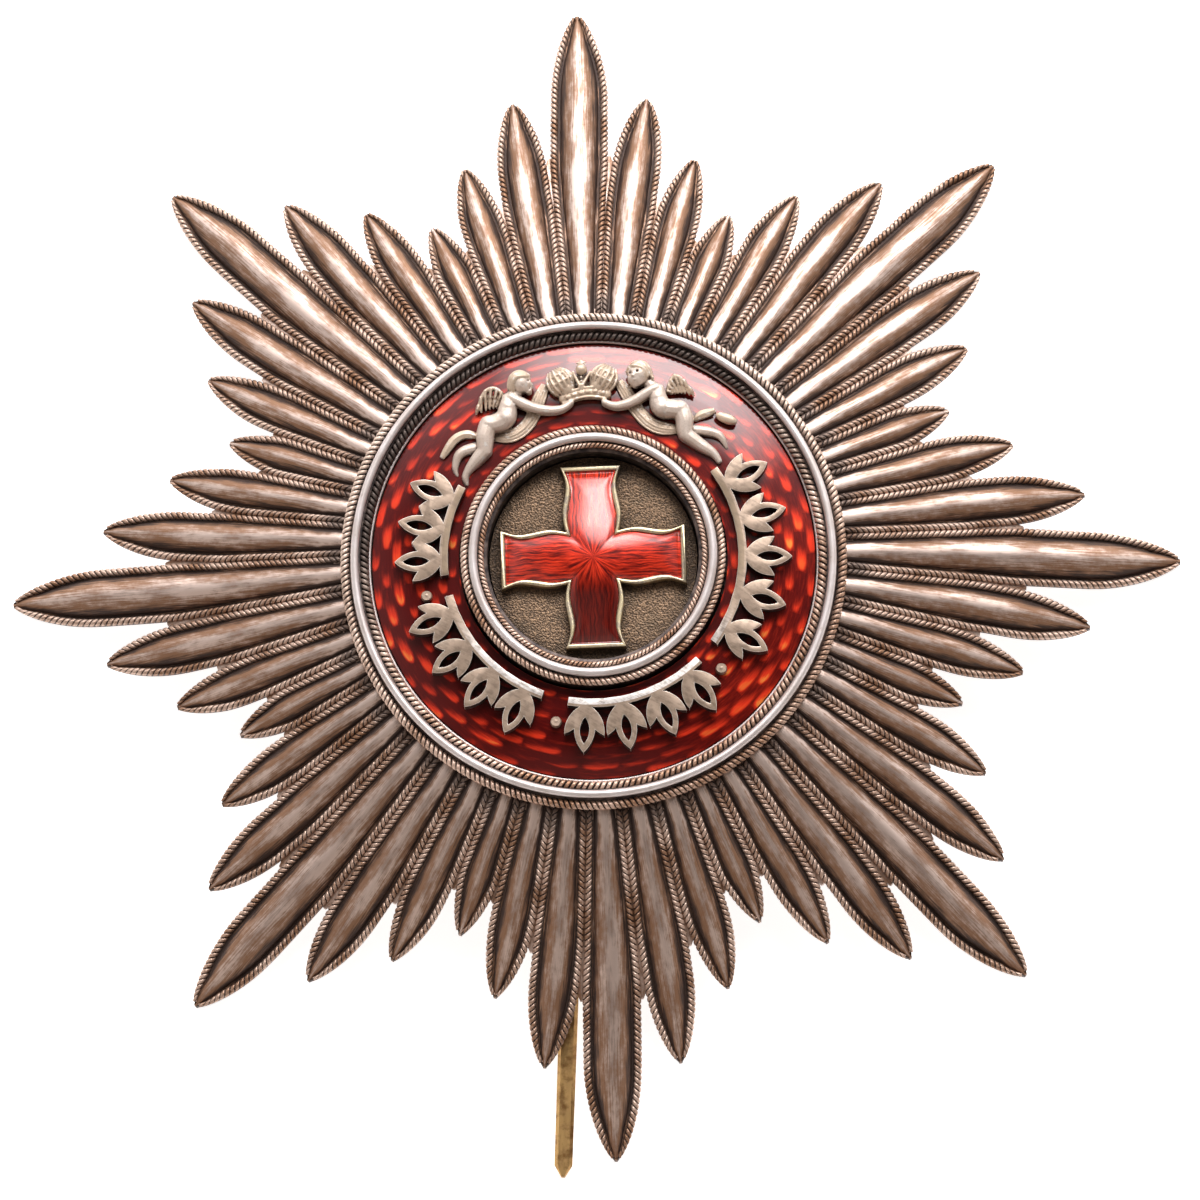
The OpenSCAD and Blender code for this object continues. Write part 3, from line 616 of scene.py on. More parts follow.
def ring_enamel(finishes):
    """Translucent red over an engraved ground: rows of scoops round the ring, staggered like
    bricks.
    Each scoop has painted light on its side away from the top of the star, with orange painted
    glints at its brightest; the right side is painted a little brighter, and painted shade lies
    next to all that stands on the enamel."""
    f = Finish("ring_enamel")
    spot = f.place()
    x, y, _ = f.split(spot)
    r, angle = polar(x, y)
    wobble = f.noise(spot, 0.5, 2.0)
    in_a_row, row_width = 32.0, 0.84
    row_at = (17.1 - r + (wobble - 0.5) * 0.2) / row_width
    row = row_at.whole()
    dash_at = angle * (in_a_row / (2 * pi)) + row * 0.5 + (wobble - 0.5) * 0.35
    dash = dash_at.whole()
    own, other = (f.random(f.vector(row, dash.maths("FLOORED_MODULO", dash, in_a_row), seed))
                  for seed in (5.1, 9.4))
    along, across = dash_at.part() * 2 - 1, row_at.part() * 2 - 1
    # painted light: each scoop is painted brighter on one side
    painted_light_side = across * (y / r) * 0.7 - along * (x / r) * 1.1
    inside = (across * across + along * along * along * along * 0.85).span(1.0, 0.2)
    threads = f.noise(f.vector(r * 7.0, angle * r * 0.9), 1.0, 3.0, 0.6)
    pools = f.noise(spot, 0.25, 2.0)
    streak = (painted_light_side * 0.62 + 0.2 + (own - 0.5) * 0.5).span(0.0, 1.0) * (inside * 0.9 + 0.1)
    # the last term is painted light, a little brighter towards the right
    glow = streak + (threads - 0.5) * 0.6 + (pools - 0.5) * 0.5 + x.span(-18.0, 18.0) * 0.12
    base = f.blend(glow.span(0.0, 0.85), finishes.deep_enamel, finishes.enamel)
    # painted glints: orange in the brightest spots
    base = f.blend((glow - 0.66).span(0.0, 0.42) * other.span(0.2, 0.9), base, (1.0, 0.33, 0.06))
    # painted shade next to the bands, the relief and the rings
    base = f.blend(f.crevice(0.9).span(0.25, 0.75) * 0.85, base, (0.03, 0.005, 0.004))
    return f.surface(base_color=base, metallic=0.35, roughness=0.45, specular_ior_level=0.1,
                     coat_weight=1.0, coat_roughness=0.04, coat_ior=1.56,
                     normal=f.bump(streak + threads * 0.3, 0.4, 0.06))


def cross_enamel_red(finishes):
    """Translucent red over cuts that fan out from the middle and run out along the arms."""
    f = Finish("cross_enamel_red")
    x, y, _ = f.split(f.place())
    r, angle = polar(x, y)
    level = (x.size() - y.size()).span(-0.3, 0.3)
    out = x * level + y * (1.0 - level)
    across = y * level + x * (1.0 - level)
    sway = f.noise(f.vector(out * 0.9, across * 0.6, level), 1.0, 1.0)
    lines = f.noise(f.vector(out * 0.5, across * 6.5 + sway * 2.5, level * 3.0), 1.0, 3.0, 0.6)
    fan = f.noise(f.vector(angle * 7.0, r * 0.4, 1.0), 1.0, 3.0, 0.7)
    middle = r.span(2.7, 1.5)
    cuts = fan * middle + lines * (1.0 - middle)
    glow = (cuts - 0.5) * 2.6 + 0.42
    base = f.blend(glow.span(0.0, 0.85), finishes.deep_enamel, finishes.enamel)
    base = f.blend((glow - 0.75).span(0.0, 0.5) * 0.8, base, (1.0, 0.25, 0.09))
    # painted shade: the lower arm is darker
    shaded = y.span(-0.6, -3.0) * (1.0 - level)
    base = f.blend(shaded * 0.8, base, tuple(c * 0.6 for c in finishes.deep_enamel))
    return f.surface(base_color=base, metallic=0.35, roughness=0.4, specular_ior_level=0.15,
                     coat_weight=1.0, coat_roughness=0.06, coat_ior=1.6,
                     normal=f.bump(cuts, 0.4, 0.05))


def gilt(finishes):
    f = Finish("pale_gilding")
    spot = f.place()
    wear = f.noise(spot, 1.6, 4.0, 0.6)
    grit = f.noise(spot, 9.0, 3.0)
    base = f.blend((wear + (grit - 0.5) * 0.3).span(0.4, 0.68), finishes.gilding,
                   (0.50, 0.42, 0.33))
    return f.surface(base_color=base, metallic=1.0, roughness=0.27 + wear * 0.2,
                     normal=f.bump(grit, 0.15, 0.03))


def stippled_bronze():
    """The plate behind the cross: fine punched stipple, darkened."""
    f = Finish("stippled_bronze")
    spot = f.place()
    punch = f.node("ShaderNodeTexVoronoi", {"feature": "SMOOTH_F1"},
                   {"Vector": spot, "Scale": 7.5, "Smoothness": 0.4})
    grain = f.noise(spot, 6.0, 4.0, 0.7)
    clouds = f.noise(spot, 0.5, 3.0)
    base = f.blend((punch + (grain - 0.5) * 0.6).span(0.15, 0.85), (0.075, 0.05, 0.035),
                   (0.32, 0.205, 0.125))
    base = f.blend(clouds.span(0.45, 0.75) * 0.5, base, (0.10, 0.075, 0.05))
    # painted shade close to the cross and the inner ring
    base = f.blend(f.crevice(1.6).span(0.1, 0.6) * 0.85, base, (0.012, 0.008, 0.006))
    return f.surface(base_color=base, metallic=0.7, roughness=0.45,
                     normal=f.bump(punch + grain * 0.5, 0.6, 0.07))


def aged_brass(finishes):
    f = Finish("aged_brass")
    spot = f.place()
    stains = f.noise(spot, 1.1, 5.0, 0.6)
    lines = f.noise(f.node("ShaderNodeVectorMath", {"operation": "MULTIPLY"},
                           {0: spot, 1: (8.0, 0.5, 8.0)}), 1.0, 3.0, 0.6)
    base = f.blend(stains.span(0.42, 0.68), finishes.brass, (0.28, 0.145, 0.055))
    return f.surface(base_color=base, metallic=1.0, roughness=0.28 + lines * 0.25,
                     normal=f.bump(lines, 0.25, 0.03))


# Rays

RAY_COUNT = 48
# The kinds of ray in an eighth of the star, from a long ray on
ORDER = (0, 1, 2, 3, 2, 1)
# Columns: radius of the outermost valley, what its sector gains in degrees, greatest width
RAYS = ((33.3, 0.5, 4.48), (33.3, 0.2, 3.86), (30.1, -0.2, 3.44), (27.2, -0.5, 3.16))
RING_R = 19.2           # outer edge of the ring round the medallion
START_R = 18.3          # where the rays begin, under that ring
SLOPE_R, FOOT_R = 19.4, 45          # where the sheet's slope begins and ends
FOOT_Z, RISE = 0.9, 7.9             # the sheet's height there, and its rise to the middle


def kind_of(i):
    return ORDER[i % len(ORDER)]


def sector(kind):
    return 360 / RAY_COUNT + RAYS[kind][1]


def bound(i):
    """Angle of a ray's clockwise edge, in degrees; ray 0 is the top one."""
    eighth, n = divmod(i, len(ORDER))
    return 90 - sector(0) / 2 + 45 * eighth + sum(sector(kind) for kind in ORDER[:n])


def middle(i):
    return bound(i) + sector(kind_of(i)) / 2


def tips_of(sizes):
    """Radii to the tips of the four kinds of ray, in millimetres."""
    return [v / MM for v in (sizes.long_tip, sizes.second_tip, sizes.third_tip, sizes.short_tip)]


def sheet_top(r):
    return FOOT_Z + RISE * (max(0, FOOT_R - max(r, SLOPE_R)) / (FOOT_R - SLOPE_R)) ** 1.3


def half_width(kind, tip, r):
    width = RAYS[kind][2]
    t = min(1, max(0, (tip - r) / (1.65 * width)))
    return max(0.25, min(r * sin(radians(sector(kind) / 2)),
                         width / 2 * (1 - (1 - t) ** 2) ** 0.75))


def sideways(r):
    """How far the roots of the rays are turned against their tips."""
    return -r * sin(radians(0.4)) * ramp(38.2, 30, r)


def rope_at(kind, tip, r, width):
    """Width of the rope border at a radius."""
    return min(0.44 * half_width(kind, tip, r),
               mix(0.8 * width, width, ramp(RING_R, RAYS[0][0], r)))


def dome_width(kind, tip, r, rope_width):
    """Half the width that the ropes and the sunk margins leave to the dome."""
    w = half_width(kind, tip, r)
    return w - 0.9 * rope_at(kind, tip, r, rope_width) - min(0.24, 0.13 * w)


def radii_of(tip, count):
    """Radii from the ring to a tip, closer together towards the tip."""
    return [START_R + (tip - START_R) * (1 - (1 - n / count) ** 1.7) for n in range(count)] + [tip]


class STAR_OT_rays(bpy.types.Operator):
    """Model the domed rays with their beds, and the webs between them"""
    bl_idname = "star.rays"
    bl_label = "Rays"

    def dome(self, kind, tip, rope_width):
        """A rounded bar that narrows to a point."""
        profile = settle(add("circle", vertices=28, radius=1, rotation=(pi / 2, 0, 0),
                             fill_type="NOTHING"))
        with Editing(profile) as edit:
            edit.pick(lambda v: v.co.z < -0.01)
            bpy.ops.transform.resize(value=(1, 1, 0), center_override=(0, 0, 0))
            bpy.ops.transform.translate(value=(0, 0, -0.35))
        rows = []
        for r in radii_of(tip - 0.32, 44):
            wide = max(0.04, dome_width(kind, tip, r, rope_width)) \
                * sqrt(1 - 0.96 * (1 - ramp(tip - 0.3, tip - 1.5, r)) ** 2)
            full = mix(0.6, 1, ramp(SLOPE_R, 23.2, r))
            rows.append((r, wide, 0.82 * wide * full, sheet_top(r), sideways(r)))
        return loft(profile, rows)

    def bed(self, kind, tip):
        """The flat strip under a dome, with its lower face a little crowned."""
        profile = settle(add("plane", size=2, rotation=(pi / 2, 0, 0)))
        with Editing(profile) as edit:
            bpy.ops.mesh.subdivide(number_cuts=1)
            edit.pick(lambda v: abs(v.co.x) < 0.1 and v.co.z < -0.5)
            bpy.ops.transform.translate(value=(0, 0, -0.4))
            edit.pick(lambda v: abs(v.co.x) < 0.1 and abs(v.co.z) < 0.1)
            bpy.ops.mesh.dissolve_verts()
            bpy.ops.mesh.select_all(action="SELECT")
            bpy.ops.mesh.delete(type="ONLY_FACE")
        rows = [(r, half_width(kind, tip, r) - 0.12, 0.36, sheet_top(r) - 0.38, sideways(r))
                for r in radii_of(tip - 0.15, 26)]
        return loft(profile, rows)

    def web(self, valley):
        """The thin strip between two rays, up to the valley where they part."""
        strip = settle(add("plane", size=2, rotation=(pi / 2, 0, 0)))
        with Editing(strip):
            bpy.ops.mesh.delete(type="ONLY_FACE")
        steps = 16
        rows = []
        for n in range(steps + 1):
            r = mix(START_R, valley - 0.3, n / steps)
            rows.append((r, 0.11 if n == steps else 0.55, 0.33, sheet_top(r) - 0.37, sideways(r)))
        return loft(strip, rows)

    def mark(self, piece, kind, tip, rope_width):
        """Writes where each point lies: across and along its ray, near its edge, root and tip.
        A web has no kind."""
        mesh = piece.data
        edge = mesh.attributes.new("edge", "FLOAT", "POINT")
        root = mesh.attributes.new("root", "FLOAT", "POINT")
        end = mesh.attributes.new("tip", "FLOAT", "POINT")
        places = []
        for number, vertex in enumerate(mesh.vertices):
            r = vertex.co.y
            across = vertex.co.x - sideways(r)
            near_edge, near_tip = 0.55, 0
            if kind is not None:
                wide = max(0.05, dome_width(kind, tip, r, rope_width))
                near_edge, near_tip = min(1.3, abs(across) / wide), ramp(tip - 13, tip - 5, r)
            edge.data[number].value = near_edge
            root.data[number].value = ramp(24, SLOPE_R, r)
            end.data[number].value = near_tip
            places.append((across, r))
        layer = mesh.uv_layers.new(name="ray")
        for loop, spot in zip(mesh.loops, layer.uv):
            spot.vector = places[loop.vertex_index]

    def execute(self, context):
        sizes = context.scene.star_sizes
        rope_width = sizes.rope_width / MM
        made = []
        for kind, tip in enumerate(tips_of(sizes)):
            parts = [self.dome(kind, tip, rope_width), self.bed(kind, tip)]
            for part in parts:
                self.mark(part, kind, tip, rope_width)
            ray = join(parts)
            places = [i for i in range(RAY_COUNT) if kind_of(i) == kind]
            made += turned(ray, [middle(i) - 90 for i in places], [17.3 * i for i in places])
            remove(ray)
        for offset in range(len(ORDER)):
            web = self.web(min(RAYS[kind_of(offset - 1)][0], RAYS[kind_of(offset)][0]))
            self.mark(web, None, 0, rope_width)
            places = range(offset, RAY_COUNT, len(ORDER))
            made += turned(web, [bound(i) - 90 for i in places], [5.1 * i for i in places])
            remove(web)
        set_down(settle(join(made)), "rays", ray_silver(context.scene.star_finishes),
                 "star_body", smooth=50)
        return {"FINISHED"}


class STAR_OT_rope_borders(bpy.types.Operator):
    """Model the twisted ropes along both edges of every ray"""
    bl_idname = "star.rope_borders"
    bl_label = "Rope borders"

    def execute(self, context):
        sizes = context.scene.star_sizes
        width, pitch = sizes.rope_width / MM, sizes.rope_pitch / MM
        pairs = []
        for kind, tip in enumerate(tips_of(sizes)):
            points, radii = [], []
            for r in radii_of(tip - 0.1, 40):
                rope_w = max(0.3, rope_at(kind, tip, r, width))
                from_middle = max(0.12, half_width(kind, tip, r) - rope_w / 2)
                points.append((from_middle + sideways(r), r, sheet_top(r) + 0.08))
                radii.append(rope_w / width)
            straight = rope(pitch, width, int(reach(points) / pitch))
            right = along_curve(straight, points, radii)
            left = mirrored(right)
            # the left rope is the mirror image in the ray's own middle line
            for vertex in left.data.vertices:
                vertex.co.x += 2 * sideways(vertex.co.y)
            pairs.append(join([right, left]))
        material = rope_silver("rope_silver", context.scene.star_finishes, 0.88, roots=True)
        share = RAY_COUNT // 4
        for quarter in range(4):
            made = []
            for i in range(share * quarter, share * (quarter + 1)):
                made += turned(pairs[kind_of(i)], [middle(i) - 90])
            set_down(settle(join(made)), f"rope_borders_{quarter + 1}", material,
                     "star_body", smooth=80)
        remove(*pairs)
        return {"FINISHED"}


class STAR_OT_back(bpy.types.Operator):
    """Model the flat sunk seat in the middle of the star"""
    bl_idname = "star.back"
    bl_label = "Seat plate"

    def execute(self, context):
        seat = lathe([(0.01, 8.1), (17.2, 8.1), (18.25, 8.78), (18.6, 8.78), (18.6, 7.93),
                      (17.6, 7.22), (0.01, 7.22)], 128)
        set_down(seat, "seat_plate", dark_silver(), "star_body", smooth=40)
        return {"FINISHED"}


# Medallion

def polished_bead(radius, top, thickness, segments):
    return settle(add("torus", major_segments=segments, minor_segments=20, major_radius=radius,
                      minor_radius=thickness, location=(0, 0, top - thickness)))


def set_down_ring(node, base_name, base, beads, polish, ropes, rope_metal):
    """Finishes the base, the polished beads and the ropes of a ring."""
    for pieces, name, material, smooth in (
            ([base], base_name, dark_silver(), 40),
            (beads, "bead", polish, 60), (ropes, "ropes", rope_metal, 80)):
        set_down(join(pieces), f"{node}_{name}", material, node, smooth=smooth)


class STAR_OT_outer_ring(bpy.types.Operator):
    """Model the ring round the medallion: thin rim, sloping rope, polished bead, outer rope"""
    bl_idname = "star.outer_ring"
    bl_label = "Outer ring"

    def execute(self, context):
        sizes, finishes = context.scene.star_sizes, context.scene.star_finishes
        foot = lathe([(16.97, 9.16), (19.0, 9.16), (19.05, 9.42), (18.6, 9.6), (18.4, 9.9),
                      (17.8, 9.9), (17.5, 9.42), (17.15, 9.36), (16.97, 9.36)], 256)
        bead = polished_bead(18.2, 10.5, sizes.bead_radius / MM, 288)
        rim = settle(add("torus", major_segments=256, minor_segments=10, major_radius=17.08,
                         minor_radius=0.1, location=(0, 0, 9.42)))
        ropes = [ring_rope(18.98, 9.5, 0.7, 0.42, 1), ring_rope(17.5, 9.62, 0.76, 0.45, -1)]
        set_down_ring("outer_ring", "foot", foot, [bead, rim],
                      bright_silver("polished_bead", finishes), ropes,
                      rope_silver("ring_rope", finishes, 1.1, 18.0))
        return {"FINISHED"}


ENAMEL_OUT, ENAMEL_IN = 16.87, 10.23


def enamel_height(r):
    """Height of the enamel's bulging face at a radius."""
    t = (ENAMEL_OUT - r) / (ENAMEL_OUT - ENAMEL_IN)
    return mix(9.25, 10.2, t) + 0.25 * sin(pi * min(1, max(0, t)))


class STAR_OT_enamel_ring(bpy.types.Operator):
    """Model the red enamel ring with its bulging upper face"""
    bl_idname = "star.enamel_ring"
    bl_label = "Enamel ring"

    def execute(self, context):
        top = [mix(ENAMEL_OUT, ENAMEL_IN, n / 16) for n in range(17)]
        profile = [(ENAMEL_IN, 8.2), (ENAMEL_OUT, 8.2)] + [(r, enamel_height(r)) for r in top]
        set_down(lathe(profile, 288), "enamel", ring_enamel(context.scene.star_finishes),
                 "enamel_ring", smooth=40)
        return {"FINISHED"}


class STAR_OT_inner_ring(bpy.types.Operator):
    """Model the raised ring round the cross: rope, polished bead and fine rope on a collar"""
    bl_idname = "star.inner_ring"
    bl_label = "Inner ring"

    def execute(self, context):
        sizes, finishes = context.scene.star_sizes, context.scene.star_finishes
        collar = lathe([(8.0, 8.17), (10.0, 8.17), (10.0, 11.2), (9.75, 11.4), (9.4, 11.6),
                        (8.9, 11.6), (8.6, 11.55), (8.25, 11.6), (8.05, 11.5)], 192)
        bead = polished_bead(9.13, 12.25, 1.08 * sizes.bead_radius / MM, 192)
        ropes = [ring_rope(9.82, 11.5, 0.58, 0.4, 1), ring_rope(8.52, 11.75, 0.44, 0.33, -1)]
        set_down_ring("inner_ring", "collar", collar, [bead],
                      bright_silver("inner_bead", finishes), ropes,
                      rope_silver("inner_rope", finishes, 1.1))
        return {"FINISHED"}


# Cross

ARM_END, ARM_WIDE = 7.05, 2.1          # how far an arm reaches, and half its usual width
# Side of an arm. Columns: share of the way out from the inner corner, share of half the width
ARM = ((0, 0.95), (0.14, 1.03), (0.3, 1.06), (0.46, 1.0), (0.62, 0.93), (0.76, 0.92),
       (0.88, 0.99), (1, 1.1))


def smooth_arm(fine=3):
    """The arm's side with points between its rows, on a smooth curve through them."""
    rows = [ARM[0], *ARM, ARM[-1]]
    side = []
    for n in range(1, len(rows) - 2):
        a, b, c, d = (Vector(rows[m]) for m in (n - 1, n, n + 1, n + 2))
        for m in range(fine):
            t = m / fine
            side.append(tuple(0.5 * (2 * b + (c - a) * t + (2 * a - 5 * b + 4 * c - d) * t * t
                                     + (3 * b - a - 3 * c + d) * t ** 3)))
    return side + [ARM[-1]]


def cross_outline(inset, height):
    corner = ARM[0][1] * ARM_WIDE - inset
    side = [(mix(corner, ARM_END - inset, s), w * ARM_WIDE - inset) for s, w in smooth_arm()]
    points = []
    for quarter in range(4):
        arm = [(x, -y) for x, y in side] + side[:0:-1]
        turn = Matrix.Rotation(quarter * pi / 2, 2)
        points += [(*(turn @ Vector(p)), height) for p in arm]
    return points


def cross_block(levels):
    """A solid with the outline of the cross, extruded from level to level.
    Columns of a level: how far its outline is set in, height."""
    points = cross_outline(*levels[0])
    block = add("circle", vertices=len(points), radius=1, fill_type="NGON")
    for vertex, point in zip(block.data.vertices, points):
        vertex.co = point
    with Editing(block, "FACE") as edit:
        for level in levels[1:]:
            bpy.ops.mesh.extrude_region_move()
            shape = bmesh.from_edit_mesh(block.data)
            onwards = dict(zip(map(rounded, points), cross_outline(*level)))
            for vertex in [v for v in shape.verts if v.select]:
                vertex.co = onwards[rounded(vertex.co)]
            bmesh.update_edit_mesh(block.data)
            points = cross_outline(*level)
        edit.face_outwards()
    return block


def rounded(point):
    return tuple(round(c, 4) for c in point)


class STAR_OT_cross(bpy.types.Operator):
    """Model the raised cross: a gilt frame with a rounded rim, and the red enamel in it"""
    bl_idname = "star.cross"
    bl_label = "Cross"

    def execute(self, context):
        finishes = context.scene.star_finishes
        cross = cross_block([(0, 10.06), (0, 10.86), (0.03, 10.92), (0.09, 10.95),
                             (0.24, 10.95), (0.31, 10.92), (0.34, 10.86), (0.34, 10.5)])
        set_down(cross, "cross_rim", gilt(finishes), "cross_frame", smooth=50)
        enamel = cross_block([(0.37, 10.56), (0.37, 10.84), (0.45, 10.92), (0.62, 10.98),
                              (0.95, 11.03), (1.35, 11.05), (1.7, 11.06)])
        modify(enamel, "REMESH", mode="VOXEL", voxel_size=0.075, adaptivity=0)
        for vertex in enamel.data.vertices:
            if vertex.co.z > 10.75:
                vertex.co.z -= 0.0075 * (vertex.co.x ** 2 + vertex.co.y ** 2) \
                    * ramp(10.75, 10.95, vertex.co.z) - 0.06
        modify(enamel, "SMOOTH", factor=0.5, iterations=3)
        set_down(enamel, "cross_red", cross_enamel_red(finishes), "cross_enamel",
                 smooth=50)
        # the enamel shines as if it bulged a little more than its frame leaves room for
        mesh = enamel.data
        mesh.normals_split_custom_set_from_vertices([
            (v.normal + Vector((40 * v.co.x, max(-0.2, min(0.23, 70 * v.co.y)), 0))
             * max(0, v.normal.z)).normalized()
            for v in mesh.vertices])
        return {"FINISHED"}


PELLET_R = 13


class STAR_OT_bands(bpy.types.Operator):
    """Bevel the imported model's four ornament bands and model the pellets between them"""
    bl_idname = "star.bands"
    bl_label = "Ornament bands"

    def execute(self, context):
        flat = band_silver("band_faces", (0.47, 0.35, 0.265))
        # painted highlight: a near-white copy of the bands' silver for their bevels
        edges = band_silver("band_edge_highlight", (1.0, 0.9, 0.8))
        # painted shade: the bands' upright sides are dark
        sides = dark_silver()
        for name in ("ornament_right", "ornament_lower_right", "ornament_lower_left",
                     "ornament_left"):
            band = twin(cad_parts[name])
            band.parent = None
            for key in list(band.keys()):
                del band[key]
            band.data.materials.clear()
            for material in (flat, edges, sides):
                band.data.materials.append(material)
            band.scale = (1 / MM,) * 3
            settle(band)
            with Editing(band):
                bpy.ops.mesh.remove_doubles(threshold=0.01)
                bpy.ops.mesh.dissolve_limited(angle_limit=radians(4))
            for face in band.data.polygons:
                if abs(face.normal.z) < 0.5:
                    face.material_index = 2
            # the bevels take the painted highlight
            modify(band, "BEVEL", width=0.16, segments=2, limit_method="ANGLE",
                   angle_limit=radians(40), use_clamp_overlap=True, material=1)
            set_down(band, name.replace("ornament", "band"), None, name,
                     smooth=40)
        for name, angle in (("pellet_right", 316.5), ("pellet_lower", 255.5),
                            ("pellet_left", 191)):
            x, y = PELLET_R * cos(radians(angle)), PELLET_R * sin(radians(angle))
            ball = blob((x, y, 10.36), 0.44, detail=4)
            foot = settle(add("cylinder", vertices=32, radius=0.36, depth=0.7,
                              location=(x, y, enamel_height(PELLET_R) + 0.38)))
            set_down(join([ball, foot]), name + "_ball", flat, name, smooth=50)
        return {"FINISHED"}


# Crown and cherubs

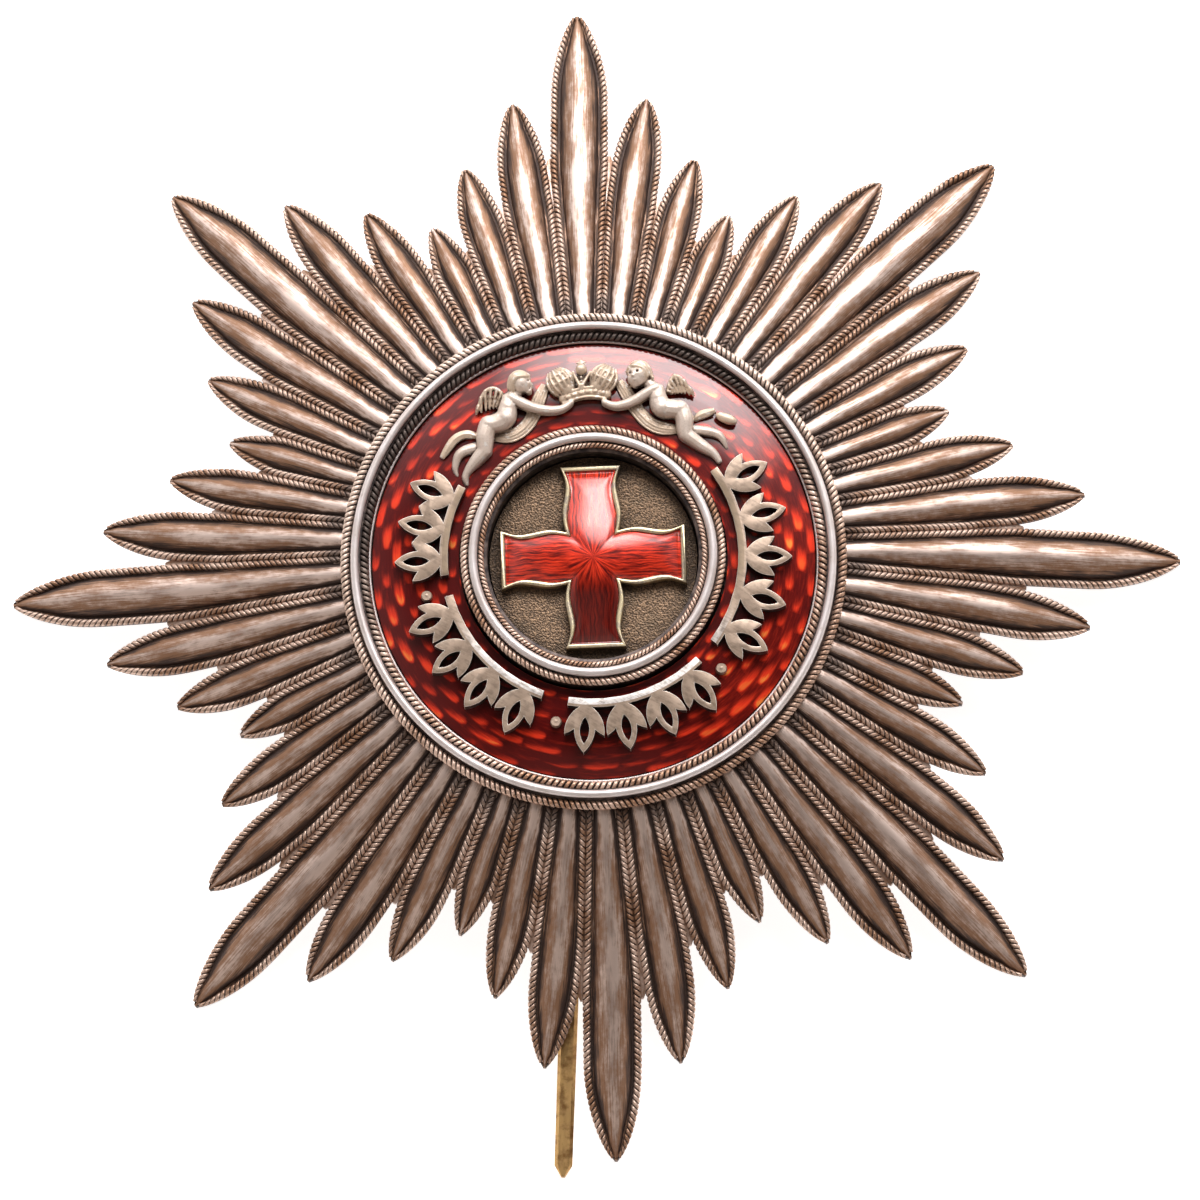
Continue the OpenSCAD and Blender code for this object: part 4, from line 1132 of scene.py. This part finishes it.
# Rows of limbs hold x, y, height and radius; those of wings and cloth x, y and height. The rows
# of a face are spheres and those of its hair are strands, both seen from the head's middle.
# Dents hold x and y from there, width and depth.
CHERUBS = ({
    "torso": ((-6.07, 12.5, 10.9, 0.45), (-6.11, 11.75, 10.95, 0.66), (-6.26, 11.05, 10.95, 0.7),
              (-6.95, 10.65, 10.85, 0.66), (-7.6, 10.6, 10.85, 0.62)),
    "thigh": ((-7.66, 10.6, 10.85, 0.62), (-7.93, 9.86, 10.9, 0.63), (-7.95, 9.15, 10.85, 0.57),
              (-7.96, 8.6, 10.8, 0.5)),
    "shin": ((-7.96, 8.62, 10.8, 0.5), (-8.57, 8.0, 10.6, 0.47), (-9.08, 7.44, 10.45, 0.36),
             (-9.46, 6.95, 10.3, 0.27), (-9.57, 6.55, 10.25, 0.25), (-9.45, 6.15, 10.2, 0.16)),
    "far leg": ((-8.76, 8.9, 10.35, 0.4), (-9.42, 8.79, 10.35, 0.38), (-10.0, 8.45, 10.3, 0.34),
                (-10.22, 7.87, 10.2, 0.28), (-10.33, 7.28, 10.1, 0.2),
                (-10.15, 6.9, 10.05, 0.13)),
    "arm": ((-5.79, 12.57, 11.1, 0.38), (-5.04, 12.13, 11.1, 0.37), (-4.08, 11.72, 11.0, 0.33),
            (-3.0, 11.5, 10.95, 0.31), (-2.12, 11.56, 10.9, 0.27), (-1.63, 11.78, 10.9, 0.22),
            (-1.3, 12.05, 10.9, 0.2)),
    "neck": ((-5.45, 13.0, 10.9, 0.4), (-5.9, 12.57, 10.9, 0.44)),
    "wing": ((-6.4, 12.73, 10.5), (-6.6, 13.16, 10.6), (-7.14, 13.51, 10.65),
             (-7.74, 13.35, 10.6), (-8.18, 12.74, 10.5), (-8.45, 11.95, 10.35)),
    "wing's lower edge": ((-6.75, 12.04, 10.4), (-7.25, 11.92, 10.4), (-7.8, 11.81, 10.35),
                          (-8.55, 11.62, 10.3)),
    "drape": ((-3.22, 13.6, 10.3), (-3.68, 12.71, 10.35), (-4.1, 11.5, 10.35),
              (-4.57, 10.63, 10.35), (-5.3, 9.97, 10.35), (-6.24, 9.63, 10.35),
              (-7.11, 9.7, 10.3)),
    "tail": ((-8.5, 9.8, 10.3), (-9.0, 10.02, 10.35), (-9.6, 10.04, 10.35), (-10.26, 9.71, 10.35),
             (-10.78, 9.04, 10.3), (-11.28, 8.3, 10.15)),
    "head": (-5.1, 13.71, 11.05),
    "face": ((0, 0, 0, 0.8), (0.26, -0.1, 0.08, 0.6), (0.42, 0.26, 0.12, 0.4),
             (0.38, -0.42, 0.2, 0.34), (0.62, -0.64, 0.12, 0.25), (0.84, -0.22, 0.16, 0.14),
             (0.76, -0.06, 0.18, 0.13), (0.76, -0.46, 0.16, 0.12), (-0.02, -0.28, 0.6, 0.17)),
    "dents": ((0.6, 0.05, 0.17, 0.16), (0.7, -0.54, 0.1, 0.09), (0.16, -0.3, 0.12, 0.05)),
    "hair": (((0.66, 0.5, 0.15), (0.25, 0.84, 0.2), (-0.4, 0.8, 0.2), (-0.85, 0.3, 0.15),
              (-0.9, -0.35, 0.1)),
             ((0.58, 0.44, 0.42), (0.1, 0.66, 0.5), (-0.4, 0.56, 0.5), (-0.74, 0.1, 0.4),
              (-0.75, -0.5, 0.2)),
             ((0.4, 0.4, 0.6), (0, 0.42, 0.72), (-0.38, 0.26, 0.7), (-0.58, -0.12, 0.58),
              (-0.56, -0.6, 0.3))),
}, {
    "torso": ((5.39, 12.8, 10.9, 0.45), (5.34, 12.07, 10.95, 0.66), (5.59, 11.38, 10.95, 0.7),
              (6.37, 11.28, 10.9, 0.64), (7.0, 11.23, 10.85, 0.62)),
    "thigh": ((7.07, 11.2, 10.85, 0.62), (7.35, 10.52, 10.9, 0.63), (7.27, 9.83, 10.85, 0.57),
              (7.32, 9.3, 10.8, 0.5)),
    "shin": ((7.32, 9.32, 10.8, 0.5), (8.13, 8.7, 10.6, 0.47), (8.91, 8.16, 10.5, 0.4),
             (9.57, 7.7, 10.35, 0.29), (9.82, 7.19, 10.3, 0.22)),
    "far leg": ((8.04, 9.66, 10.4, 0.36), (8.85, 9.57, 10.4, 0.35), (9.53, 9.43, 10.35, 0.3),
                (10.04, 9.14, 10.25, 0.27), (10.28, 8.68, 10.15, 0.2),
                (10.42, 8.3, 10.05, 0.13)),
    "arm": ((5.16, 12.9, 11.1, 0.37), (4.48, 12.58, 11.1, 0.37), (3.63, 12.04, 11.0, 0.34),
            (2.69, 11.72, 10.95, 0.31), (1.88, 11.66, 10.9, 0.26), (1.26, 12.0, 10.9, 0.22)),
    "neck": ((4.71, 13.29, 10.9, 0.38), (5.27, 12.83, 10.9, 0.44)),
    "wing": ((6.07, 12.73, 10.5), (6.24, 13.4, 10.6), (6.69, 13.97, 10.65), (7.28, 13.64, 10.6),
             (7.95, 12.7, 10.4)),
    "wing's lower edge": ((6.47, 12.62, 10.4), (6.93, 12.6, 10.4), (7.45, 12.55, 10.35),
                          (8.08, 12.42, 10.3)),
    "drape": ((2.4, 13.68, 10.3), (2.82, 13.04, 10.35), (3.49, 11.78, 10.35),
              (4.04, 10.93, 10.35), (4.82, 10.15, 10.35), (5.85, 9.8, 10.35),
              (6.77, 9.8, 10.3)),
    "tail": ((8.0, 10.5, 10.3), (8.5, 10.86, 10.35), (9.01, 10.98, 10.35), (9.6, 11.15, 10.4)),
    "flat end": (10.5, 10.5, 10.42),
    "head": (3.95, 14.03, 11.05),
    "face": ((0, 0, 0, 0.87), (-0.15, -0.3, 0.15, 0.66), (-0.3, 0.12, 0.2, 0.56),
             (-0.56, -0.36, 0.24, 0.32), (0.06, -0.42, 0.3, 0.36), (-0.27, -0.74, 0.24, 0.28),
             (-0.42, -0.2, 0.76, 0.15), (-0.38, -0.02, 0.74, 0.12), (-0.31, -0.52, 0.66, 0.14)),
    "dents": ((-0.64, 0.04, 0.17, 0.18), (-0.1, 0.12, 0.17, 0.18), (-0.31, -0.6, 0.1, 0.08)),
    "hair": (((-0.86, 0.22, 0.1), (-0.62, 0.72, 0.15), (-0.05, 0.98, 0.15), (0.55, 0.82, 0.15),
              (0.9, 0.3, 0.1), (1.0, -0.3, 0.1)),
             ((-0.72, 0.46, 0.35), (-0.3, 0.76, 0.45), (0.2, 0.78, 0.45), (0.62, 0.45, 0.4),
              (0.82, -0.1, 0.3)),
             ((-0.4, 0.56, 0.6), (0.05, 0.54, 0.7), (0.45, 0.25, 0.64), (0.62, -0.25, 0.48)),
             ((0.95, -0.2, 0.2), (1.05, -0.35, 0.2))),
})


UP = Vector((0, 0, 1))


def at_share(points, t):
    """The point at a share of the way along some points."""
    place = t * (len(points) - 1)
    n = min(int(place), len(points) - 2)
    return Vector(points[n]).lerp(Vector(points[n + 1]), place - n)


class STAR_OT_crown_and_cherubs(bpy.types.Operator):
    """Model the cast relief: a crown carried by two flying cherubs with drapery"""
    bl_idname = "star.crown_and_cherubs"
    bl_label = "Crown and cherubs"

    def limb(self, rows, fullness=1.14):
        return tube([row[:3] for row in rows], [fullness * row[3] for row in rows], 4)

    def cloth(self, rows, wide=0.5):
        """A low ribbon with sharp folds, narrower at its ends."""
        made = []
        points = [Vector(row) - UP * 0.1 for row in rows]
        last = len(points) - 1
        widths = [wide * (0.62 if n in (0, last) else 1) for n in range(last + 1)]
        for fold in (-0.9, -0.45, 0, 0.45, 0.9):
            path = []
            for n, point in enumerate(points):
                before, after = points[max(0, n - 1)], points[min(last, n + 1)]
                side = (after - before).cross(UP).normalized()
                path.append(point + side * fold * widths[n] + UP * (0.2 - 0.1 * abs(fold)))
            made.append(tube(path, [0.16 * w + 0.02 for w in widths], 2))
        made.append(tube([p - UP * 0.5 for p in points], [0.95 * w for w in widths], 2))
        return made

    def feathers(self, top, bottom):
        """Two layers of feathers under the wing's leading edge."""
        made = [tube([Vector(p) + UP * 0.08 for p in top], [0.15] * (len(top) - 1) + [0.06], 2)]
        for n in range(7):
            t = n / 6
            start, end = at_share(top, t * 0.95), at_share(bottom, t)
            made.append(tube([start, start.lerp(end, 0.5) + UP * 0.06, start.lerp(end, 0.93)],
                             [0.16, 0.17, 0.1], 2))
            made.append(tube([start + UP * 0.14, start.lerp(end, 0.45) + UP * 0.2],
                             [0.12, 0.09], 2))
        return made

    def crown(self):
        """A jewelled circlet, two ribbed bulging halves and an orb on the middle arch."""
        band = [(-1.83, 12.42), (-1.06, 12.64), (-0.29, 12.82), (0.57, 12.85), (1.42, 12.66)]

        def sunk(x):
            """How much lower the circlet is beside its middle."""
            return 0.05 * (x + 0.2) ** 2

        made = []
        for rise, high, radius in ((0, 10.75, 0.4), (-0.36, 10.98, 0.11), (0.36, 11.02, 0.12)):
            made.append(tube([(x + 0.2 * rise, y + rise, high - sunk(x)) for x, y in band],
                             [radius] * len(band)))
        for n in range(6):
            x, y = at_share(band, (n + 0.5) / 6)
            made.append(blob((x, y, 11.12 - sunk(x)), 0.17, (1.3, 0.9, 0.8)))
        for side, x, y in ((-1, -2.05, 13.75), (1, 1.27, 13.9)):
            heart = Vector((x, y, 10.5))
            made.append(blob(heart, 1.0, (1.0, 1.1, 0.84), (0, 0, -side * 0.5), detail=4))
            made.append(blob(heart + Vector((-side * 0.45, -0.5, 0)), 0.75, (1, 1, 0.95), detail=3))
            lean = Matrix.Rotation(-side * 0.5, 2)

            def over(wide, lift, proud=0.88):
                high = proud * sqrt(max(0.02, 1 - (wide / 1.1) ** 2 - (lift / 1.14) ** 2))
                spot = lean @ Vector((side * wide, lift))
                return heart + Vector((spot.x, spot.y, high))

            for bulge in (-1.0, -0.6, -0.2, 0.22, 0.64, 1.0):
                lifts = [-1.05 + 2.1 * n / 6 for n in range(7)]
                made.append(tube([over(bulge * sqrt(max(0.06, 1 - (t / 1.2) ** 2)), t)
                                  for t in lifts], [0.06] + [0.085] * 5 + [0.06], 2))
            for lift in (-0.1, 0.5):
                made.append(tube([over(w * 0.8 * sqrt(1 - lift * lift), lift)
                                  for w in (-1, -0.5, 0, 0.5, 1)], [0.06] * 5, 2))
        made.append(blob((-0.45, 13.45, 10.35), 0.7, (0.8, 1.3, 0.6), detail=3))
        for end in ((-1.05, 14.45, 10.85), (0.22, 14.4, 10.85)):
            made.append(tube([(-0.5, 13.1, 11.05), Vector((-0.5, 13.1, 11.3)).lerp(
                Vector(end), 0.5), end], [0.13, 0.13, 0.12], 2))
        made += [blob((-0.44, y, 11.12), 0.12) for y in (13.35, 13.65, 13.95)]
        made += [blob((-0.42, 14.58, 11.05), 0.44, detail=4),
                 tube([(-0.42, 15.0, 10.95), (-0.42, 15.3, 10.85)], [0.12, 0.11], 2),
                 tube([(-0.72, 15.12, 10.9), (-0.12, 15.16, 10.9)], [0.09, 0.09], 2)]
        return made

    def execute(self, context):
        skin, golden, dents = [], self.crown(), []
        for cherub in CHERUBS:
            skin += [self.limb(cherub[name])
                     for name in ("torso", "thigh", "shin", "far leg", "arm", "neck")]
            _, chest, belly, _, seat = (Vector(row[:3]) for row in cherub["torso"])
            knee, calf = (Vector(row[:3]) for row in cherub["shin"][:2])
            hand = Vector(cherub["arm"][-1][:3])
            skin += [blob(chest + Vector((0, 0.1, 0.12)), 0.62, detail=3),
                     blob(belly + Vector((0, 0, 0.16)), 0.68, detail=3),
                     blob(seat + Vector((0, 0.05, 0.12)), 0.64, detail=3),
                     blob(knee + Vector((0, 0, 0.1)), 0.46, detail=3),
                     blob(calf + Vector((0, 0, 0.05)), 0.46, (1.1, 1, 0.9), detail=3),
                     blob(hand + Vector((0, 0.08, 0.05)), 0.2, (1.3, 0.9, 0.8))]
            golden += self.feathers(cherub["wing"], cherub["wing's lower edge"])
            golden += self.cloth(cherub["drape"]) + self.cloth(cherub["tail"], 0.3)
            if "flat end" in cherub:
                golden.append(blob(cherub["flat end"], 0.9, (1, 0.42, 0.3), (0, 0, -0.4), 3))
            head = Vector(cherub["head"])
            skin += [blob(head + Vector(row[:3]), row[3], detail=3) for row in cherub["face"]]
            for strand in cherub["hair"]:
                golden.append(tube([head + Vector(p) for p in strand],
                                   [0.15] + [0.17] * (len(strand) - 2) + [0.15], 2))
            dents += [(head.x + x, head.y + y, wide, deep) for x, y, wide, deep in cherub["dents"]]
        points = [(vertex.co.copy(), kind) for kind, parts in enumerate((skin, golden))
                  for part in parts for vertex in part.data.vertices]
        tree = KDTree(len(points))
        for number, (point, _) in enumerate(points):
            tree.insert(point, number)
        tree.balance()
        # a lower copy under every form, squeezed towards the ground, reaches into the enamel
        relief = join(skin + golden)
        foot = twin(relief)
        ground, squeeze = 9.6, 0.55
        foot.scale.z = squeeze
        foot.location.z = (1 - squeeze) * ground
        relief = join([relief, settle(foot)])
        modify(relief, "REMESH", mode="VOXEL", voxel_size=0.055, adaptivity=0)
        modify(relief, "SMOOTH", factor=0.5, iterations=1)
        for vertex in relief.data.vertices:
            for x, y, wide, deep in dents:
                if vertex.co.z > 11 and abs(vertex.co.x - x) < wide and abs(vertex.co.y - y) < wide:
                    away = ((vertex.co.x - x) ** 2 + (vertex.co.y - y) ** 2) / wide ** 2
                    vertex.co.z -= deep * max(0, 1 - away) ** 2
        with Editing(relief):
            bpy.ops.mesh.bisect(plane_co=UP * (ground - 0.15), plane_no=UP, clear_inner=True,
                                use_fill=True)
        modify(relief, "DECIMATE", ratio=0.58)
        # each point takes the tint of the nearest form
        tint = relief.data.attributes.new("golden", "FLOAT", "POINT")
        for value, vertex in zip(tint.data, relief.data.vertices):
            value.value = points[tree.find(vertex.co)[1]][1]
        set_down(relief, "crown_and_cherubs", relief_silver(),
                 "crown_with_cherubs", smooth=60)
        return {"FINISHED"}


class STAR_OT_plain_metal(bpy.types.Operator):
    """Give the centre plate, the pin, the hinge and the catch their finishes"""
    bl_idname = "star.plain_metal"
    bl_label = "Plate and pin"

    def execute(self, context):
        brass = aged_brass(context.scene.star_finishes)
        for name, material in (("centre_field", stippled_bronze()), ("hinge", brass),
                               ("hinge_axle", brass), ("pin", brass), ("catch", brass)):
            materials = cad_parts[name].data.materials
            materials.clear()
            materials.append(material)
        return {"FINISHED"}


# Stage

# The camera that matches the photo: turns about X, Y and Z in degrees, place in the camera's
# own directions and the level that it looks at in millimetres, and focal length
CAMERA_TURNS = ((-11.42, "X"), (-1.40, "Y"), (1.92, "Z"))
CAMERA_PLACE, CAMERA_LEVEL, CAMERA_LENS = (0.276, -1.298, 978), 0.9, 382.07


def direction(azimuth, elevation):
    a, e = radians(azimuth), radians(elevation)
    return Vector((cos(a) * cos(e), sin(a) * cos(e), sin(e)))


class STAR_OT_stage(bpy.types.Operator):
    """Set the pale floor, the surround, the soft light and the camera"""
    bl_idname = "star.stage"
    bl_label = "Stage"

    def lamp(self, power):
        """A soft light that faces the star from beyond its top."""
        place = direction(80, 49) * 0.7
        bpy.ops.object.light_add(type="AREA", location=place)
        light = bpy.context.active_object
        light.name = "key_light"
        light.rotation_euler = (Vector((0, 0, 0.005)) - place).to_track_quat("-Z", "Y").to_euler()
        light.data.shape = "RECTANGLE"
        light.data.size, light.data.size_y = 0.24, 0.18
        light.data.energy = power

    def surround(self, settings):
        """A dim world with soft patches of light."""
        f = Finish("surround", world=True)
        way = f.node("ShaderNodeTexCoord", out="Generated")

        def tent(azimuth, elevation, wide, narrow):
            """A patch: 0 beyond the wide angle from its middle, 1 within the narrow one."""
            ahead = f.node("ShaderNodeVectorMath", {"operation": "DOT_PRODUCT"},
                           {0: way, 1: direction(azimuth, elevation)}, out="Value")
            return ahead.span(cos(radians(wide)), cos(radians(narrow)))

        _, above, up = f.split(way)
        patches = (tent(78, 50, 22, 6) * 8.5 + tent(84, 40, 44, 16) * 0.6
                   + tent(84, 32, 66, 24) * up.span(0.87, 0.66) * 1.2
                   + tent(264, 52, 30, 10) * 0.25 + tent(190, 42, 34, 10) * 0.3)
        shine = f.node("ShaderNodeBackground", sockets={
            "Color": f.blend(above.span(0.3, -0.3), (1.0, 0.985, 0.985), (1.0, 0.88, 0.79)),
            "Strength": settings.surround + up.span(0.93, 0.68) * 0.3 + settings.key * patches},
            out="Background")
        f.tree.links.new(shine.socket, f.out.inputs[0])
        return f.material

    def camera(self):
        bpy.ops.object.camera_add()
        camera = bpy.context.active_object
        turn = Matrix.Identity(3)
        for angle, axis in CAMERA_TURNS:
            turn = turn @ Matrix.Rotation(radians(angle), 3, axis)
        turn.transpose()
        place = (turn @ Vector(CAMERA_PLACE) + UP * CAMERA_LEVEL) * MM
        camera.matrix_world = Matrix.Translation(place) @ turn.to_4x4()
        camera.data.lens = CAMERA_LENS
        camera.data.sensor_width = 36
        camera.data.clip_start, camera.data.clip_end = 0.01, 20
        return camera

    def execute(self, context):
        settings = context.scene.star_stage
        # a hair below the rays' tips, which lie at 0
        floor = settle(add("plane", size=3.0, location=(0, 0, -0.00002)))
        floor.name = "floor"
        f = Finish("pale_floor")
        floor.data.materials.append(f.surface(
            base_color=(0.9, 0.9, 0.9), roughness=0.9, specular_ior_level=0.1,
            emission_color=(1, 1, 1, 1), emission_strength=0.82))
        context.scene.world = self.surround(settings)
        self.lamp(0.22 * settings.key)
        context.scene.camera = self.camera()
        context.scene.view_settings.view_transform = "Standard"
        return {"FINISHED"}


class STAR_PT_panel(bpy.types.Panel):
    """Lists the star's pieces, sizes, finishes and stage"""
    bl_idname = "STAR_PT_panel"
    bl_label = "Breast star"
    bl_space_type = "VIEW_3D"
    bl_region_type = "UI"
    bl_category = "Breast star"

    def draw(self, context):
        for group in GROUPS:
            settings = getattr(context.scene, group)
            for name in settings.bl_rna.properties.keys():
                if name not in ("rna_type", "name"):
                    self.layout.prop(settings, name)
        for piece in PIECES:
            self.layout.operator(piece.bl_idname)


GROUPS = {"star_sizes": StarSizes, "star_finishes": StarFinishes, "star_stage": StarStage}
PIECES = (STAR_OT_stage, STAR_OT_rays, STAR_OT_rope_borders, STAR_OT_back, STAR_OT_outer_ring,
          STAR_OT_enamel_ring, STAR_OT_inner_ring, STAR_OT_cross, STAR_OT_bands,
          STAR_OT_crown_and_cherubs, STAR_OT_plain_metal)


def register():
    for group in (*GROUPS.values(), *PIECES, STAR_PT_panel):
        bpy.utils.register_class(group)
    for name, group in GROUPS.items():
        setattr(bpy.types.Scene, name, bpy.props.PointerProperty(type=group))


def unregister():
    for name in GROUPS:
        delattr(bpy.types.Scene, name)
    for group in reversed((*GROUPS.values(), *PIECES, STAR_PT_panel)):
        bpy.utils.unregister_class(group)


def main():
    register()
    for piece in PIECES:
        group, name = piece.bl_idname.split(".")
        getattr(getattr(bpy.ops, group), name)()


if __name__ == "__main__":
    main()
